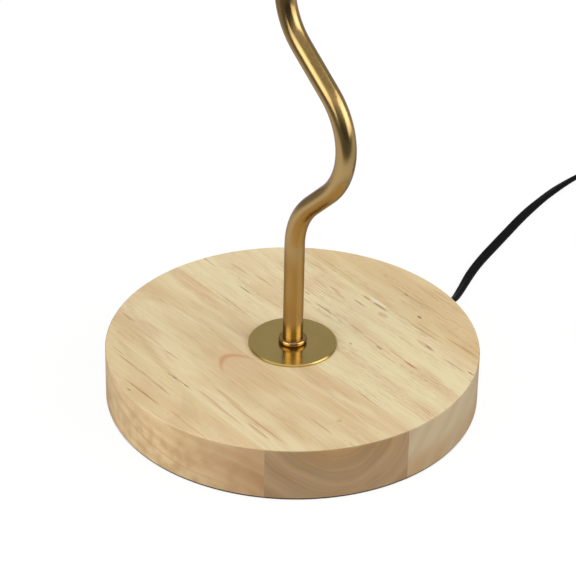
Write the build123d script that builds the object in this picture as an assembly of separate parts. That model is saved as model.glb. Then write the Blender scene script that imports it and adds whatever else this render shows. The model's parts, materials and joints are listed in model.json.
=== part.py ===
from build123d import *
import os
from math import atan2, ceil, cos, degrees, hypot, pi, radians, sin, sqrt, tan

# A table lamp: a round wooden base, a brass tube bent into a wave, a fabric shade on a
# screw-socket lampholder, and a flat two-core flex with a rocker switch and a plug.
# Millimetres, +Z up, origin at the centre of the base where it stands on the table.

# Base
BASE_R = 92.5
BASE_TOP = 28.0
BASE_EDGE = 0.8
PAD_T = 1.0
PAD_INSET = 0.6
NUT_RECESS_R = 25.0
NUT_RECESS_TOP = 20.0
COVER_R = 22.0
COVER_T = 1.2
COVER_EDGE = 0.5
COLLAR_R = 7.0
COLLAR_H = 3.0

# Stem: a tube that leans out towards the front right, comes back past the middle and rises again
TUBE_R = 5.0
TUBE_WALL = 1.0
STEM_PLANE_DEG = -45.0
STEM_FOOT = 57.0
BEND_R = 36.5
LEAN_OUT_DEG = 45.0
LEAN_OUT_RUN = 15.5
LEAN_BACK_DEG = 47.0
LEAN_BACK_RUN = 26.0
WASHER_R = 14.0
WASHER_T = 1.5
LOCK_WASHER_R = 8.5
LOCK_WASHER_T = 0.8
NUT_FLATS = 14.0
NUT_T = 4.4
STEM_PROUD = 0.7
THREAD_CLEAR = 0.1

# Lampholder for a bulb with a 27 mm screw cap
HOLDER_Z = 288.0
HOLDER_R = 20.0
HOLDER_NECK_R = 8.5
HOLDER_NECK_H = 6.0
HOLDER_CAP_H = 24.0
HOLDER_WALL = 2.0
HOLDER_GRIP = 10.0
HOLDER_SHOULDER_H = 10.0
HOLDER_SHELL_H = 34.0
HOLDER_SKIRT_H = 7.0
SOCKET_BORE_R = 13.6
INSERT_R = 15.4
INSERT_BASE_UP = 13.0
INSERT_T = 10.5
GRUB_R = 1.5
CONTACT_T = 0.6
CONTACT_W = 5.0
SHADE_NUT_R = 28.0
SHADE_NUT_T = 7.0
SHADE_NUT_UP = 6.0
SHADE_NUT_RIBS = 24
RING_RUN_CLEAR = 0.15

# Bulb
BULB_CAP_R = 13.1
BULB_CAP_H = 24.0
BULB_R = 30.0
BULB_H = 104.0
BULB_NECK_R = 12.0
GLASS_T = 1.0
BULB_TIP_R = 4.5
BULB_TIP_H = 2.2
FILAMENTS = 4
FILAMENT_R = 0.9
FILAMENT_L = 32.0
MOUNT_UP = 14.0

# Shade
SHADE_Z = 292.0
SHADE_H = 175.0
SHADE_LOW_R = 140.0
SHADE_TOP_R = 92.0
SHADE_T = 0.8
TRIM_T = 0.4
TRIM_W = 8.0
TRIM_GAP = 0.1
WIRE_R = 1.5
WIRE_GAP = 0.1
FITTER_R = 36.0
FITTER_T = 1.2
ARMS = 3
ARM_FLAT = 6.0
WELD = 0.2

# Flex: flat two-core, laid on edge
FLEX_W = 5.2
FLEX_T = 2.8
FLEX_CLEAR = 0.1
EXIT_DEG = 42.0
EXIT_Z = 7.0
EXIT_HOLE_R = 4.0
INNER_BEND_R = 8.0
BUSH_IN = 12.0
BUSH_OUT = 10.0
BUSH_FLANGE_R = 5.8
BUSH_FLANGE_T = 2.0
BUSH_ROOT_R = 4.6
BUSH_TIP_R = 3.4
BUSH_CLEAR = 0.1
BUSH_GROOVES = 3

# Flex on the table from the base to the switch, as centre line points
FLEX_Z = FLEX_W / 2 + 0.1
RUN_POINTS = [
    (83.2, 79.0, 5.2),
    (86.6, 90.6, FLEX_Z + 0.3),
    (96.0, 118.5, FLEX_Z),
    (112.6, 150.0, FLEX_Z),
    (128.4, 180.5, FLEX_Z),
    (147.5, 208.5, FLEX_Z),
    (168.0, 229.0, FLEX_Z),
    (190.0, 238.5, FLEX_Z),
    (212.0, 235.0, FLEX_Z + 0.1),
    (226.0, 219.0, FLEX_Z + 0.9),
]
RUN_EXIT_STEP = 6.0
RUN_ENTRY_STEP = 15.0

# In-line switch, lying along the flex
SWITCH_X = 231.0
SWITCH_Y = 150.0
SWITCH_L = 66.0
SWITCH_W = 27.0
SWITCH_H = 14.0
SWITCH_SPLIT = 6.0
SWITCH_WALL = 1.6
SWITCH_END_R = 11.0
SWITCH_EDGE = 1.6
ENTRY_DEPTH = 9.0
ROCKER_L = 21.0
ROCKER_W = 12.0
ROCKER_PIVOT_Z = 9.6
ROCKER_CREST = 5.6
ROCKER_TIP = 4.4
ROCKER_DROP = 3.2
ROCKER_TILT = 8.0
ROCKER_GAP = 0.4
NOSE_R = 2.0
NOSE_DROP = 5.2
PIVOT_R = 1.5
PIVOT_CLEAR = 0.05
EAR_T = 1.6
EAR_GAP = 0.3
EAR_L = 5.0
TERMINAL_X = 18.0
TERMINAL_L = 7.0
TERMINAL_W = 6.0
TERMINAL_H = 5.0
LEAF_T = 0.4
LEAF_W = 4.0
SWITCH_SCREW_X = 22.0
SWITCH_SCREW_Y = 8.6
SWITCH_SCREW_R = 1.3
SWITCH_HEAD_R = 2.6
SWITCH_HEAD_H = 1.6
BOSS_R = 3.0

# Flex from the switch to the coil, the coil itself, and its tail to the plug
LEAD_POINTS = [(SWITCH_X + 1.0, 86.0, 4.2)]
LEAD_START_STEP = 15.0
LEAD_END_STEP = 20.0
COIL_Y = 46.0
COIL_R = 34.0
TURN_GAP = 0.7
COIL_PITCH = FLEX_T + TURN_GAP
COIL_RISE = FLEX_W + TURN_GAP
COIL_HALF_TURNS = 7
TIE_W = 8.0
TIE_T = 0.6
TIE_CLEAR = 0.2
TIE_SLACK = 0.5
COIL_Z = TIE_T + TIE_CLEAR + FLEX_W / 2
TAIL_POINTS = [(0.0, 16.0, 0.0), (4.6, 32.0, -0.8)]
PLUG_DX = 15.0
PLUG_DY = 62.0
PLUG_DEG = 80.0
PLUG_RUN = 15.0

# Two-pin plug
PLUG_T = 13.7
PLUG_W = 35.3
PLUG_FACE_W = 33.5
PLUG_BACK_W = 13.0
PLUG_L = 33.0
PLUG_NECK_L = 8.0
PLUG_TAPER = 20.0
PLUG_TAPER_R0 = 4.8
PLUG_TAPER_R1 = 3.4
PLUG_ROUND = 2.5
PLUG_GROOVES = 5
PIN_R = 2.0
PIN_L = 19.0
PIN_SPREAD = 18.6
PIN_SLEEVE_L = 10.0
PIN_SLEEVE_R = 1.9
PIN_SEAT = 8.0


def turned(points):
    """A solid of revolution about Z from (radius, height) points."""
    outline = make_face(Polyline(*[(r, 0, z) for r, z in points], close=True))
    return revolve(outline, Axis.Z)


def disc(radius, z_low, z_high):
    """An upright cylinder between two heights."""
    return Pos(0, 0, z_low) * extrude(Circle(radius), z_high - z_low)


def ring(outer, inner, z_low, z_high):
    """An upright ring between two heights."""
    return Pos(0, 0, z_low) * extrude(Circle(outer) - Circle(inner), z_high - z_low)


def flex_section(clear=0.0):
    """The flat oval outline of the flex, its width along the local Y axis."""
    return Rot(0, 0, 90) * SlotOverall(FLEX_W + 2 * clear, FLEX_T + 2 * clear)


def towards(azimuth, radius, z=0.0):
    """The point at a radius and a compass angle about the lamp's axis."""
    return (radius * cos(radians(azimuth)), radius * sin(radians(azimuth)), z)


def stem_plane():
    """The upright plane in which the stem bends: local X to the front right, local Y up."""
    angle = radians(STEM_PLANE_DEG)
    return Plane(origin=(0, 0, 0), x_dir=(cos(angle), sin(angle), 0), z_dir=(sin(angle), -cos(angle), 0))


def stem_line(z_low, z_high):
    """The stem's centre line: out, back past the middle, and upright again on the axis."""
    lean_out = radians(LEAN_OUT_DEG)
    lean_back = radians(LEAN_BACK_DEG)
    past = (2 * BEND_R * (1 - cos(lean_out)) + LEAN_OUT_RUN * sin(lean_out)
            - 2 * BEND_R * (1 - cos(lean_back)) - LEAN_BACK_RUN * sin(lean_back))
    recover = degrees(2 * atan2(sqrt(-past / 2), sqrt(2 * BEND_R + past / 2)))
    foot = Line((0, z_low), (0, BASE_TOP + STEM_FOOT))
    out = JernArc(foot @ 1, foot % 1, BEND_R, -LEAN_OUT_DEG)
    rise = Line(out @ 1, out @ 1 + (out % 1) * LEAN_OUT_RUN)
    turn = JernArc(rise @ 1, rise % 1, BEND_R, LEAN_OUT_DEG + LEAN_BACK_DEG)
    back = Line(turn @ 1, turn @ 1 + (turn % 1) * LEAN_BACK_RUN)
    under = JernArc(back @ 1, back % 1, BEND_R, -LEAN_BACK_DEG - recover)
    upright = JernArc(under @ 1, under % 1, BEND_R, recover)
    top = Line(upright @ 1, (0, z_high))
    edges = [foot, out, rise, turn, back, under, upright, top]
    return stem_plane().location * Wire([edge.edge() for edge in edges])


def swept(section, path):
    """A section carried along a path that starts square to it."""
    start = Plane(origin=path @ 0, z_dir=path % 0)
    return sweep(start * section, path=path)


def swept_flex(path, name):
    """The flex along a path, its width kept upright, with its volume checked on the way."""
    heading = path % 0
    start = Plane(origin=path @ 0, x_dir=heading.cross(Vector(0, 0, 1)), z_dir=heading)
    solid = sweep(start * flex_section(), path=path)
    expected = flex_section().area * path.length
    print(f"{name}: length {path.length:.1f}, volume {solid.volume:.0f}, section x length {expected:.0f}")
    return solid


def eased_line(points, name):
    """Straight runs joined by tangent arcs as large as the two runs allow."""
    vectors = [Vector(*point) for point in points]
    radii = []
    for before, here, after in zip(vectors, vectors[1:], vectors[2:]):
        half_turn = radians((here - before).get_angle(after - here)) / 2
        shorter = min((here - before).length, (after - here).length)
        radii.append(0.45 * shorter / tan(half_turn))
    print(f"{name}: arc radii", [round(radius) for radius in radii])
    return FilletPolyline(*points, radius=radii).wire()


# Base group

def base_disc():
    """The wooden disc, with the nut's recess below and the flex's hole through its side."""
    blank = disc(BASE_R, PAD_T, BASE_TOP)
    blank = fillet(blank.edges().sort_by(Axis.Z)[-1], BASE_EDGE)
    blank -= disc(NUT_RECESS_R, PAD_T, NUT_RECESS_TOP)
    blank -= disc(TUBE_R + THREAD_CLEAR, NUT_RECESS_TOP, BASE_TOP)
    hole = Plane(origin=towards(EXIT_DEG, 0, EXIT_Z), z_dir=towards(EXIT_DEG, 1))
    blank -= hole * extrude(Circle(EXIT_HOLE_R), BASE_R + BUSH_OUT)
    return blank


def base_pad():
    """The thin pad glued under the base; it closes the recess."""
    return disc(BASE_R - PAD_INSET, 0, PAD_T)


def cover_disc():
    """The brass disc under the collar, its rim eased."""
    plate = ring(COVER_R, TUBE_R + THREAD_CLEAR, BASE_TOP, BASE_TOP + COVER_T)
    rim = plate.edges().filter_by(GeomType.CIRCLE).group_by(Axis.Z)[-1].sort_by(SortBy.RADIUS)[-1]
    return chamfer(rim, COVER_EDGE)


def collar():
    """The rounded brass bead that the stem's shoulder clamps onto the disc."""
    low = BASE_TOP + COVER_T
    bead = ring(COLLAR_R, TUBE_R, low, low + COLLAR_H)
    rims = bead.edges().filter_by(GeomType.CIRCLE).filter_by(lambda edge: edge.radius > TUBE_R + 0.1)
    return fillet(rims, COLLAR_H * 0.45)


def nut_top():
    """The height of the nut's upper face, under its two washers."""
    return NUT_RECESS_TOP - WASHER_T - LOCK_WASHER_T


def stem_tube():
    """The bent brass tube, from its threaded end under the base to the lampholder."""
    line = stem_line(nut_top() - NUT_T - STEM_PROUD, HOLDER_Z + HOLDER_GRIP)
    return swept(Circle(TUBE_R) - Circle(TUBE_R - TUBE_WALL), line)


def stem_washer():
    """The wide washer that spreads the nut's pull over the wood."""
    return ring(WASHER_R, TUBE_R + THREAD_CLEAR, NUT_RECESS_TOP - WASHER_T, NUT_RECESS_TOP)


def lock_washer():
    """The toothed washer under the nut."""
    high = NUT_RECESS_TOP - WASHER_T
    washer = ring(LOCK_WASHER_R, TUBE_R + THREAD_CLEAR, high - LOCK_WASHER_T, high)
    teeth = 12
    tooth = Pos(LOCK_WASHER_R, 0, high - LOCK_WASHER_T) * extrude(Circle(0.7), LOCK_WASHER_T)
    return washer - [Rot(0, 0, index * 360 / teeth) * tooth for index in range(teeth)]


def stem_nut():
    """The hexagon nut that pulls the stem down."""
    high = nut_top()
    outline = RegularPolygon(NUT_FLATS / 2, 6, major_radius=False) - Circle(TUBE_R + THREAD_CLEAR)
    nut = Pos(0, 0, high - NUT_T) * extrude(outline, NUT_T)
    bevel = turned([(0, high - NUT_T), (NUT_FLATS / 2 - 0.2, high - NUT_T), (NUT_FLATS / 2 + 1.6, high - NUT_T + 1),
                    (NUT_FLATS / 2 + 1.6, high), (0, high)])
    return nut & bevel


def cord_bushing():
    """The rubber bushing in the side hole: plug, flange and grooved taper round the flex."""
    taper_end = BASE_R + BUSH_OUT
    flange = BASE_R + BUSH_FLANGE_T
    plug_r = EXIT_HOLE_R - BUSH_CLEAR
    body = turned([(0, BASE_R - BUSH_IN), (plug_r - 0.6, BASE_R - BUSH_IN), (plug_r, BASE_R - BUSH_IN + 1),
                   (plug_r, BASE_R), (BUSH_FLANGE_R, BASE_R), (BUSH_FLANGE_R, flange),
                   (BUSH_ROOT_R, flange), (BUSH_TIP_R, taper_end), (0, taper_end)])
    step = (BUSH_OUT - BUSH_FLANGE_T) / (BUSH_GROOVES + 1)
    for index in range(BUSH_GROOVES):
        mid = flange + step * (index + 1)
        groove_r = BUSH_ROOT_R + (BUSH_TIP_R - BUSH_ROOT_R) * (mid - flange) / (taper_end - flange)
        body -= ring(BUSH_FLANGE_R, groove_r - 0.35, mid - 0.5, mid + 0.5)
    body -= Rot(0, 0, 90) * extrude(flex_section(FLEX_CLEAR), taper_end)
    return Pos(0, 0, EXIT_Z) * Rot(0, 0, EXIT_DEG) * Rot(0, 90, 0) * body


def inner_flex():
    """The flex inside the lamp: through the bushing, up the stem and into the lampholder."""
    tip = towards(EXIT_DEG, BASE_R + BUSH_OUT, EXIT_Z)
    along = Plane(origin=(0, 0, 0), x_dir=towards(EXIT_DEG, 1), z_dir=towards(EXIT_DEG - 90, 1))
    run = Line((BASE_R + BUSH_OUT, EXIT_Z), (INNER_BEND_R, EXIT_Z))
    bend = JernArc(run @ 1, run % 1, INNER_BEND_R, -90)
    low = along.location * Wire([run.edge(), bend.edge()])
    high = stem_line(EXIT_Z + INNER_BEND_R, HOLDER_Z + INSERT_BASE_UP)
    path = Wire(low.edges() + high.edges())
    inward = Vector(*towards(EXIT_DEG, -1))
    start = Plane(origin=tip, x_dir=inward.cross(Vector(0, 0, 1)), z_dir=inward)
    solid = sweep(start * flex_section(), path=path)
    print(f"inner flex: length {path.length:.1f}, volume {solid.volume:.0f},",
          f"section x length {flex_section().area * path.length:.0f}")
    return solid


# Lampholder group

def holder_cap():
    """The lampholder's domed lower half, which screws onto the stem."""
    top = HOLDER_Z + HOLDER_CAP_H
    neck_top = HOLDER_Z + HOLDER_NECK_H
    outer = turned([(0, HOLDER_Z), (HOLDER_NECK_R, HOLDER_Z), (HOLDER_NECK_R, neck_top),
                    (HOLDER_NECK_R + 5, neck_top + 1.6), (HOLDER_R - 1.4, neck_top + 6),
                    (HOLDER_R, neck_top + HOLDER_SHOULDER_H), (HOLDER_R, top), (0, top)])
    inner = turned([(0, HOLDER_Z + HOLDER_GRIP), (HOLDER_R - 5, HOLDER_Z + HOLDER_GRIP),
                    (HOLDER_R - HOLDER_WALL - 1, HOLDER_Z + INSERT_BASE_UP),
                    (HOLDER_R - HOLDER_WALL, HOLDER_Z + INSERT_BASE_UP + 2), (HOLDER_R - HOLDER_WALL, top),
                    (0, top)])
    cap = outer - inner - disc(TUBE_R + THREAD_CLEAR, HOLDER_Z, HOLDER_Z + HOLDER_GRIP)
    screw_way = Pos(TUBE_R, 0, HOLDER_Z + HOLDER_NECK_H / 2) * Rot(0, 90, 0)
    return cap - screw_way * extrude(Circle(GRUB_R + PIVOT_CLEAR), HOLDER_R)


def holder_grub_screw():
    """The grub screw that stops the lampholder turning on the stem."""
    length = HOLDER_NECK_R - TUBE_R - 0.3
    body = extrude(Circle(GRUB_R), length)
    slot = Pos(0, 0, length) * Box(4 * GRUB_R, 0.6, 1.6)
    return Pos(TUBE_R + THREAD_CLEAR, 0, HOLDER_Z + HOLDER_NECK_H / 2) * Rot(0, 90, 0) * (body - slot)


def socket_floor():
    """The height of the insert's upper face, where the contacts stand."""
    return HOLDER_Z + INSERT_BASE_UP + INSERT_T


def terminal_place(side):
    """Where a terminal block sits in the insert; its screw faces out along X."""
    return Pos(side * (INSERT_R - 4.0), 0, HOLDER_Z + INSERT_BASE_UP + 4.2)


def holder_insert():
    """The insulating carrier for the contacts, with a pocket for each terminal."""
    low = HOLDER_Z + INSERT_BASE_UP
    block = ring(INSERT_R, FLEX_W / 2 + 0.4, low, socket_floor())
    for side in (-1, 1):
        block -= terminal_place(side) * Pos(side * 2, 0, 0) * Box(10, 6.2, 5.2)
    return block


def holder_terminals():
    """The two brass terminal blocks."""
    blocks = [terminal_place(side) * Box(6, 6, 5) for side in (-1, 1)]
    return Compound(children=[block.solid() for block in blocks])


def holder_terminal_screws():
    """The two terminal screws, heads outwards."""
    screws = []
    for side in (-1, 1):
        head = extrude(Circle(2.0), 1.0) - Pos(0, 0, 1.0) * Box(5, 0.6, 0.9)
        screws.append((terminal_place(side) * Pos(side * 3, 0, 0) * Rot(0, side * 90, 0) * head).solid())
    return Compound(children=screws)


def holder_centre_contact():
    """The sprung strip in the middle of the socket, under the bulb's tip."""
    floor = socket_floor()
    outline = make_face(Polyline((-9, floor), (4, floor), (6.4, floor + 1.5), (2, floor + 2.8), (-4, floor + 2.8),
                                 (-4, floor + 2.8 - CONTACT_T), (1.6, floor + 2.8 - CONTACT_T),
                                 (4.8, floor + 1.4), (3.6, floor + CONTACT_T), (-9, floor + CONTACT_T), close=True))
    upright = Plane(origin=(0, -CONTACT_W / 2, 0), x_dir=(1, 0, 0), z_dir=(0, -1, 0))
    return upright * extrude(outline, -CONTACT_W)


def holder_side_contact():
    """The strip that stands beside the bulb's cap."""
    floor = socket_floor()
    reach = SOCKET_BORE_R - CONTACT_T
    foot = Pos(reach - 1.6, 0, floor + CONTACT_T / 2) * Box(4.4, CONTACT_W, CONTACT_T)
    blade = Pos(reach + 0.3, 0, floor + 2.4) * Box(CONTACT_T, CONTACT_W, 4.8)
    return Rot(0, 0, 90) * (foot + blade)


def holder_shell():
    """The threaded sleeve that screws into the cap and carries the two shade nuts."""
    low = HOLDER_Z + HOLDER_CAP_H
    high = low + HOLDER_SHELL_H
    thread_r = HOLDER_R - RING_RUN_CLEAR
    skirt_r = HOLDER_R - HOLDER_WALL - THREAD_CLEAR
    return turned([(INSERT_R + 0.2, low - HOLDER_SKIRT_H), (skirt_r, low - HOLDER_SKIRT_H), (skirt_r, low),
                   (thread_r, low), (thread_r, high - 1.2), (thread_r - 1.2, high), (SOCKET_BORE_R + 0.6, high),
                   (SOCKET_BORE_R, high - 0.8), (SOCKET_BORE_R, socket_floor() + 5.4),
                   (INSERT_R + 0.2, socket_floor() + 5.4)])


def fitter_z():
    """The height of the shade fitter's lower face, on the lower shade nut."""
    return HOLDER_Z + HOLDER_CAP_H + SHADE_NUT_UP + SHADE_NUT_T


def shade_nut(z_low, flange_up):
    """A shade nut: a flange towards the fitter and a ribbed grip ring."""
    high = z_low + SHADE_NUT_T
    grip_r = HOLDER_R + 4.0
    flange_low = high - 2.0 if flange_up else z_low
    nut = ring(grip_r, HOLDER_R, z_low, high) + ring(SHADE_NUT_R, HOLDER_R, flange_low, flange_low + 2.0)
    notch = Pos(grip_r, 0, z_low) * extrude(Circle(0.8), SHADE_NUT_T)
    keep = ring(SHADE_NUT_R + 1, grip_r - 2, flange_low, flange_low + 2.0)
    notches = [Rot(0, 0, index * 360 / SHADE_NUT_RIBS) * notch for index in range(SHADE_NUT_RIBS)]
    return nut - [cutter - keep for cutter in notches]


# Bulb group

def bulb_foot():
    """The height of the bulb's tip, resting on the centre contact."""
    return socket_floor() + 2.8


def bulb_profile(inset):
    """The glass's outline from the neck to the crown, moved in by a wall."""
    neck_z = bulb_foot() + BULB_CAP_H - 4
    centre_z = bulb_foot() + BULB_H - BULB_R
    radius = BULB_R - inset
    neck_r = BULB_NECK_R - inset
    blend = (radius * cos(radians(38)), centre_z - radius * sin(radians(38)))
    side = Spline((neck_r, neck_z + 8), blend, tangents=[(0, 1), (sin(radians(38)), cos(radians(38)))])
    crown = CenterArc((0, centre_z), radius, -38, 128)
    neck = Line((neck_r, neck_z), (neck_r, neck_z + 8))
    return [neck, side, crown]


def bulb_glass():
    """The pear-shaped glass, a thin shell open at its neck."""
    outer = bulb_profile(0)
    inner = bulb_profile(GLASS_T)
    crown_top = bulb_foot() + BULB_H
    closing = [Line((0, crown_top), (0, crown_top - GLASS_T)), Line(outer[0] @ 0, inner[0] @ 0)]
    outline = make_face([line.edge() for line in outer + inner + closing])
    return Rot(90, 0, 0) * revolve(outline, Axis.Y)


def bulb_cap():
    """The screw cap: a sleeve with its thread's waves, and a sloping end round the tip."""
    foot = bulb_foot() + BULB_TIP_H
    top = bulb_foot() + BULB_CAP_H
    waves = 4
    pitch = 3.6
    points = [(BULB_TIP_R + 0.5, foot), (BULB_CAP_R - 2.4, foot + 3.6)]
    for index in range(waves):
        base = foot + 4.2 + index * pitch
        points += [(BULB_CAP_R, base + pitch * 0.25), (BULB_CAP_R - 1.0, base + pitch * 0.75)]
    points += [(BULB_CAP_R, top - 1.2), (BULB_CAP_R, top), (BULB_NECK_R, top), (BULB_NECK_R, foot + 4.4),
               (BULB_TIP_R + 0.5, foot + 1.0)]
    return turned(points)


def bulb_tip():
    """The insulating plug and contact button at the foot of the cap."""
    low = bulb_foot()
    return turned([(0, low), (BULB_TIP_R - 1.5, low), (BULB_TIP_R, low + 1.0), (BULB_TIP_R, low + BULB_TIP_H),
                   (BULB_TIP_R + 0.4, low + BULB_TIP_H), (BULB_TIP_R + 0.4, low + BULB_TIP_H + 1.2),
                   (0, low + BULB_TIP_H + 1.2)])


def bulb_filament():
    """The glass mount and its light strips, standing on the plug in the cap."""
    low = bulb_foot() + BULB_TIP_H + 1.2
    mount = disc(BULB_TIP_R, low, low + 5) + disc(2.6, low, bulb_foot() + BULB_CAP_H + MOUNT_UP)
    hub_z = bulb_foot() + BULB_CAP_H + MOUNT_UP
    mount += disc(FILAMENT_R + 7.5, hub_z, hub_z + 1.0)
    strip = Pos(7, 0, hub_z + 1.0) * extrude(Circle(FILAMENT_R), FILAMENT_L)
    crown = ring(FILAMENT_R + 7.5, 5.5, hub_z + 1.0 + FILAMENT_L, hub_z + 2.0 + FILAMENT_L)
    strips = [Rot(0, 0, index * 360 / FILAMENTS) * strip for index in range(FILAMENTS)]
    return mount + strips + crown


# Shade group

def shade_radius(z):
    """The shade's outer radius at a height."""
    return SHADE_LOW_R + (SHADE_TOP_R - SHADE_LOW_R) * (z - SHADE_Z) / SHADE_H


def shade_wall():
    """The wall's thickness measured level, as the cone leans."""
    lean = atan2(SHADE_LOW_R - SHADE_TOP_R, SHADE_H)
    return SHADE_T / cos(lean)


def shade_cover():
    """The fabric cone, laminated on a thin stiff sheet."""
    top = SHADE_Z + SHADE_H
    wall = shade_wall()
    return turned([(SHADE_LOW_R - wall, SHADE_Z), (SHADE_LOW_R, SHADE_Z), (SHADE_TOP_R, top),
                   (SHADE_TOP_R - wall, top)])


def shade_trim(at_top):
    """The turned-over tape on a rim: a band outside and a lip over the edge."""
    wall = shade_wall()
    rim = SHADE_Z + SHADE_H if at_top else SHADE_Z
    away = 1 if at_top else -1
    band = rim - away * TRIM_W
    rim_r, band_r = shade_radius(rim) + TRIM_GAP, shade_radius(band) + TRIM_GAP
    edge = rim + away * TRIM_GAP
    return turned([(rim_r - wall, edge), (rim_r, edge), (band_r, band), (band_r + TRIM_T, band),
                   (rim_r + TRIM_T, edge + away * TRIM_T), (rim_r - wall, edge + away * TRIM_T)])


def wire_ring_place(at_top):
    """The height and radius of a wire ring's centre, just inside the cover's rim."""
    z = SHADE_Z + SHADE_H - WIRE_R if at_top else SHADE_Z + WIRE_R
    lean = atan2(SHADE_LOW_R - SHADE_TOP_R, SHADE_H)
    return z, shade_radius(z) - shade_wall() - (WIRE_R + WIRE_GAP) / cos(lean)


def shade_ring(at_top):
    """A wire hoop that keeps a rim round."""
    z, radius = wire_ring_place(at_top)
    return Pos(0, 0, z) * Torus(radius, WIRE_R)


def shade_fitter():
    """The flat ring clamped between the two shade nuts."""
    low = fitter_z()
    return ring(FITTER_R, HOLDER_R + RING_RUN_CLEAR, low, low + FITTER_T)


def shade_arms():
    """The wires from the fitter down to the lower hoop, welded at both ends."""
    hoop_z, hoop_r = wire_ring_place(False)
    start_z = fitter_z() - WIRE_R + WELD
    inner_r = FITTER_R - ARM_FLAT
    route = FilletPolyline((inner_r, 0, start_z), (FITTER_R + 1, 0, start_z), (hoop_r - WIRE_R + WELD, 0, hoop_z),
                           radius=4.0)
    arm = swept(Circle(WIRE_R), route.wire())
    return Compound(children=[(Rot(0, 0, index * 360 / ARMS) * arm).solid() for index in range(ARMS)])


# Flex on the table

def run_line():
    """From the bushing's tip down to the table, round to the switch."""
    reach = BASE_R + BUSH_OUT
    start = [towards(EXIT_DEG, reach, EXIT_Z), towards(EXIT_DEG, reach + RUN_EXIT_STEP, EXIT_Z - 0.2)]
    entry_y = SWITCH_Y + SWITCH_L / 2 - ENTRY_DEPTH / 3
    end = [(SWITCH_X, entry_y + RUN_ENTRY_STEP, SWITCH_SPLIT), (SWITCH_X, entry_y, SWITCH_SPLIT)]
    return eased_line(start + RUN_POINTS + end, "run")


def lead_line():
    """From the switch to the coil's first turn."""
    start_y = SWITCH_Y - SWITCH_L / 2 + ENTRY_DEPTH / 3
    start = [(SWITCH_X, start_y, SWITCH_SPLIT), (SWITCH_X, start_y - LEAD_START_STEP, SWITCH_SPLIT)]
    end = [(SWITCH_X, COIL_Y + LEAD_END_STEP, COIL_Z), (SWITCH_X, COIL_Y, COIL_Z)]
    return eased_line(start + LEAD_POINTS + end, "lead")


def coil_line():
    """The coil: a spiral in on the table, a half turn that climbs, and a spiral out on top."""
    x = SWITCH_X
    low, high = COIL_Z, COIL_Z + COIL_RISE
    radius = COIL_R
    edges = []

    def half_turn(x_from, turn_radius, north, z):
        side = 1 if north else -1
        x_to = x_from + side * 2 * turn_radius
        middle = (x_from + side * turn_radius, COIL_Y + side * turn_radius, z)
        edges.append(ThreePointArc((x_from, COIL_Y, z), middle, (x_to, COIL_Y, z)).edge())
        return x_to

    for index in range(COIL_HALF_TURNS):
        x = half_turn(x, radius, index % 2 == 1, low)
        radius -= COIL_PITCH / 2
    rise = high - low
    reach = sqrt(radius ** 2 + rise ** 2 / 4)
    foot = (x, COIL_Y, low)
    crest = (x + radius, COIL_Y + reach, (low + high) / 2)
    landing = (x + 2 * radius, COIL_Y, high)
    edges.append(TangentArc(foot, crest, tangent=(0, 1, 0)).edge())
    edges.append(TangentArc(crest, landing, tangent=(2 * radius, 0, rise)).edge())
    x = landing[0]
    for index in range(COIL_HALF_TURNS):
        radius += COIL_PITCH / 2
        x = half_turn(x, radius, index % 2 == 1, high)
    return Wire(edges)


def least_self_gap(path):
    """The least clear space between turns, from points along the centre line."""
    count = ceil(path.length / 2.0)
    points = [path @ (index / count) for index in range(count + 1)]
    skip = int(0.3 * 2 * pi * COIL_R / 2.0)
    gaps = []
    for index, point in enumerate(points):
        for other in points[index + skip:]:
            beside = hypot(point.X - other.X, point.Y - other.Y) - FLEX_T
            above = abs(point.Z - other.Z) - FLEX_W
            gaps.append(max(beside, above))
    return min(gaps)


def coil_end():
    """The point where the coil lets the flex go, on its far side and upper layer."""
    return coil_line() @ 1


def tail_line():
    """From the coil's top turn to the plug, beside the coil."""
    end = coil_end()
    angle = radians(PLUG_DEG)
    points = [(end.X + dx, end.Y + dy, end.Z + dz) for dx, dy, dz in [(0.0, 0.0, 0.0)] + TAIL_POINTS]
    last = (end.X + PLUG_DX, end.Y + PLUG_DY, PLUG_T / 2)
    before = (last[0] - PLUG_RUN * cos(angle), last[1] - PLUG_RUN * sin(angle), PLUG_T / 2 + 0.3)
    return eased_line(points + [before, last], "tail")


def coil_tie():
    """The band round the turns on the coil's near side."""
    turns = (COIL_HALF_TURNS - 1) / 2 * COIL_PITCH
    bow = (TIE_W + COIL_PITCH) ** 2 / (8 * (COIL_R - turns))
    wide = turns + FLEX_T + 2 * TIE_CLEAR + bow + 2 * TIE_SLACK
    tall = COIL_RISE + FLEX_W + 2 * TIE_CLEAR
    outline = RectangleRounded(wide + 2 * TIE_T, tall + 2 * TIE_T, 2.0)
    outline -= RectangleRounded(wide, tall, 2.0 - TIE_T)
    middle = (SWITCH_X - COIL_R - COIL_PITCH / 2 - TIE_W / 2, COIL_Y - COIL_R + turns / 2 + bow / 2,
              COIL_Z + COIL_RISE / 2)
    return Plane(origin=middle, x_dir=(0, 1, 0), z_dir=(1, 0, 0)) * extrude(outline, TIE_W)


# In-line switch, built along local X and then laid along the flex

def switch_place(solid):
    """Lay the switch along the flex: local X runs away from the lamp."""
    return Pos(SWITCH_X, SWITCH_Y, 0) * Rot(0, 0, -90) * solid


def switch_outline(inset):
    """The switch's rounded plan, moved in by a wall."""
    return RectangleRounded(SWITCH_L - 2 * inset, SWITCH_W - 2 * inset, SWITCH_END_R - inset)


def flex_way(length):
    """The flex's way in at both ends, at the parting line."""
    section = Plane.YZ * (Rot(0, 0, 0) * Rectangle(FLEX_T + 0.4, FLEX_W + 0.4))
    way = extrude(section, length)
    return Pos(-SWITCH_L / 2 - 1, 0, SWITCH_SPLIT) * way + Pos(SWITCH_L / 2 + 1 - length, 0, SWITCH_SPLIT) * way


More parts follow.
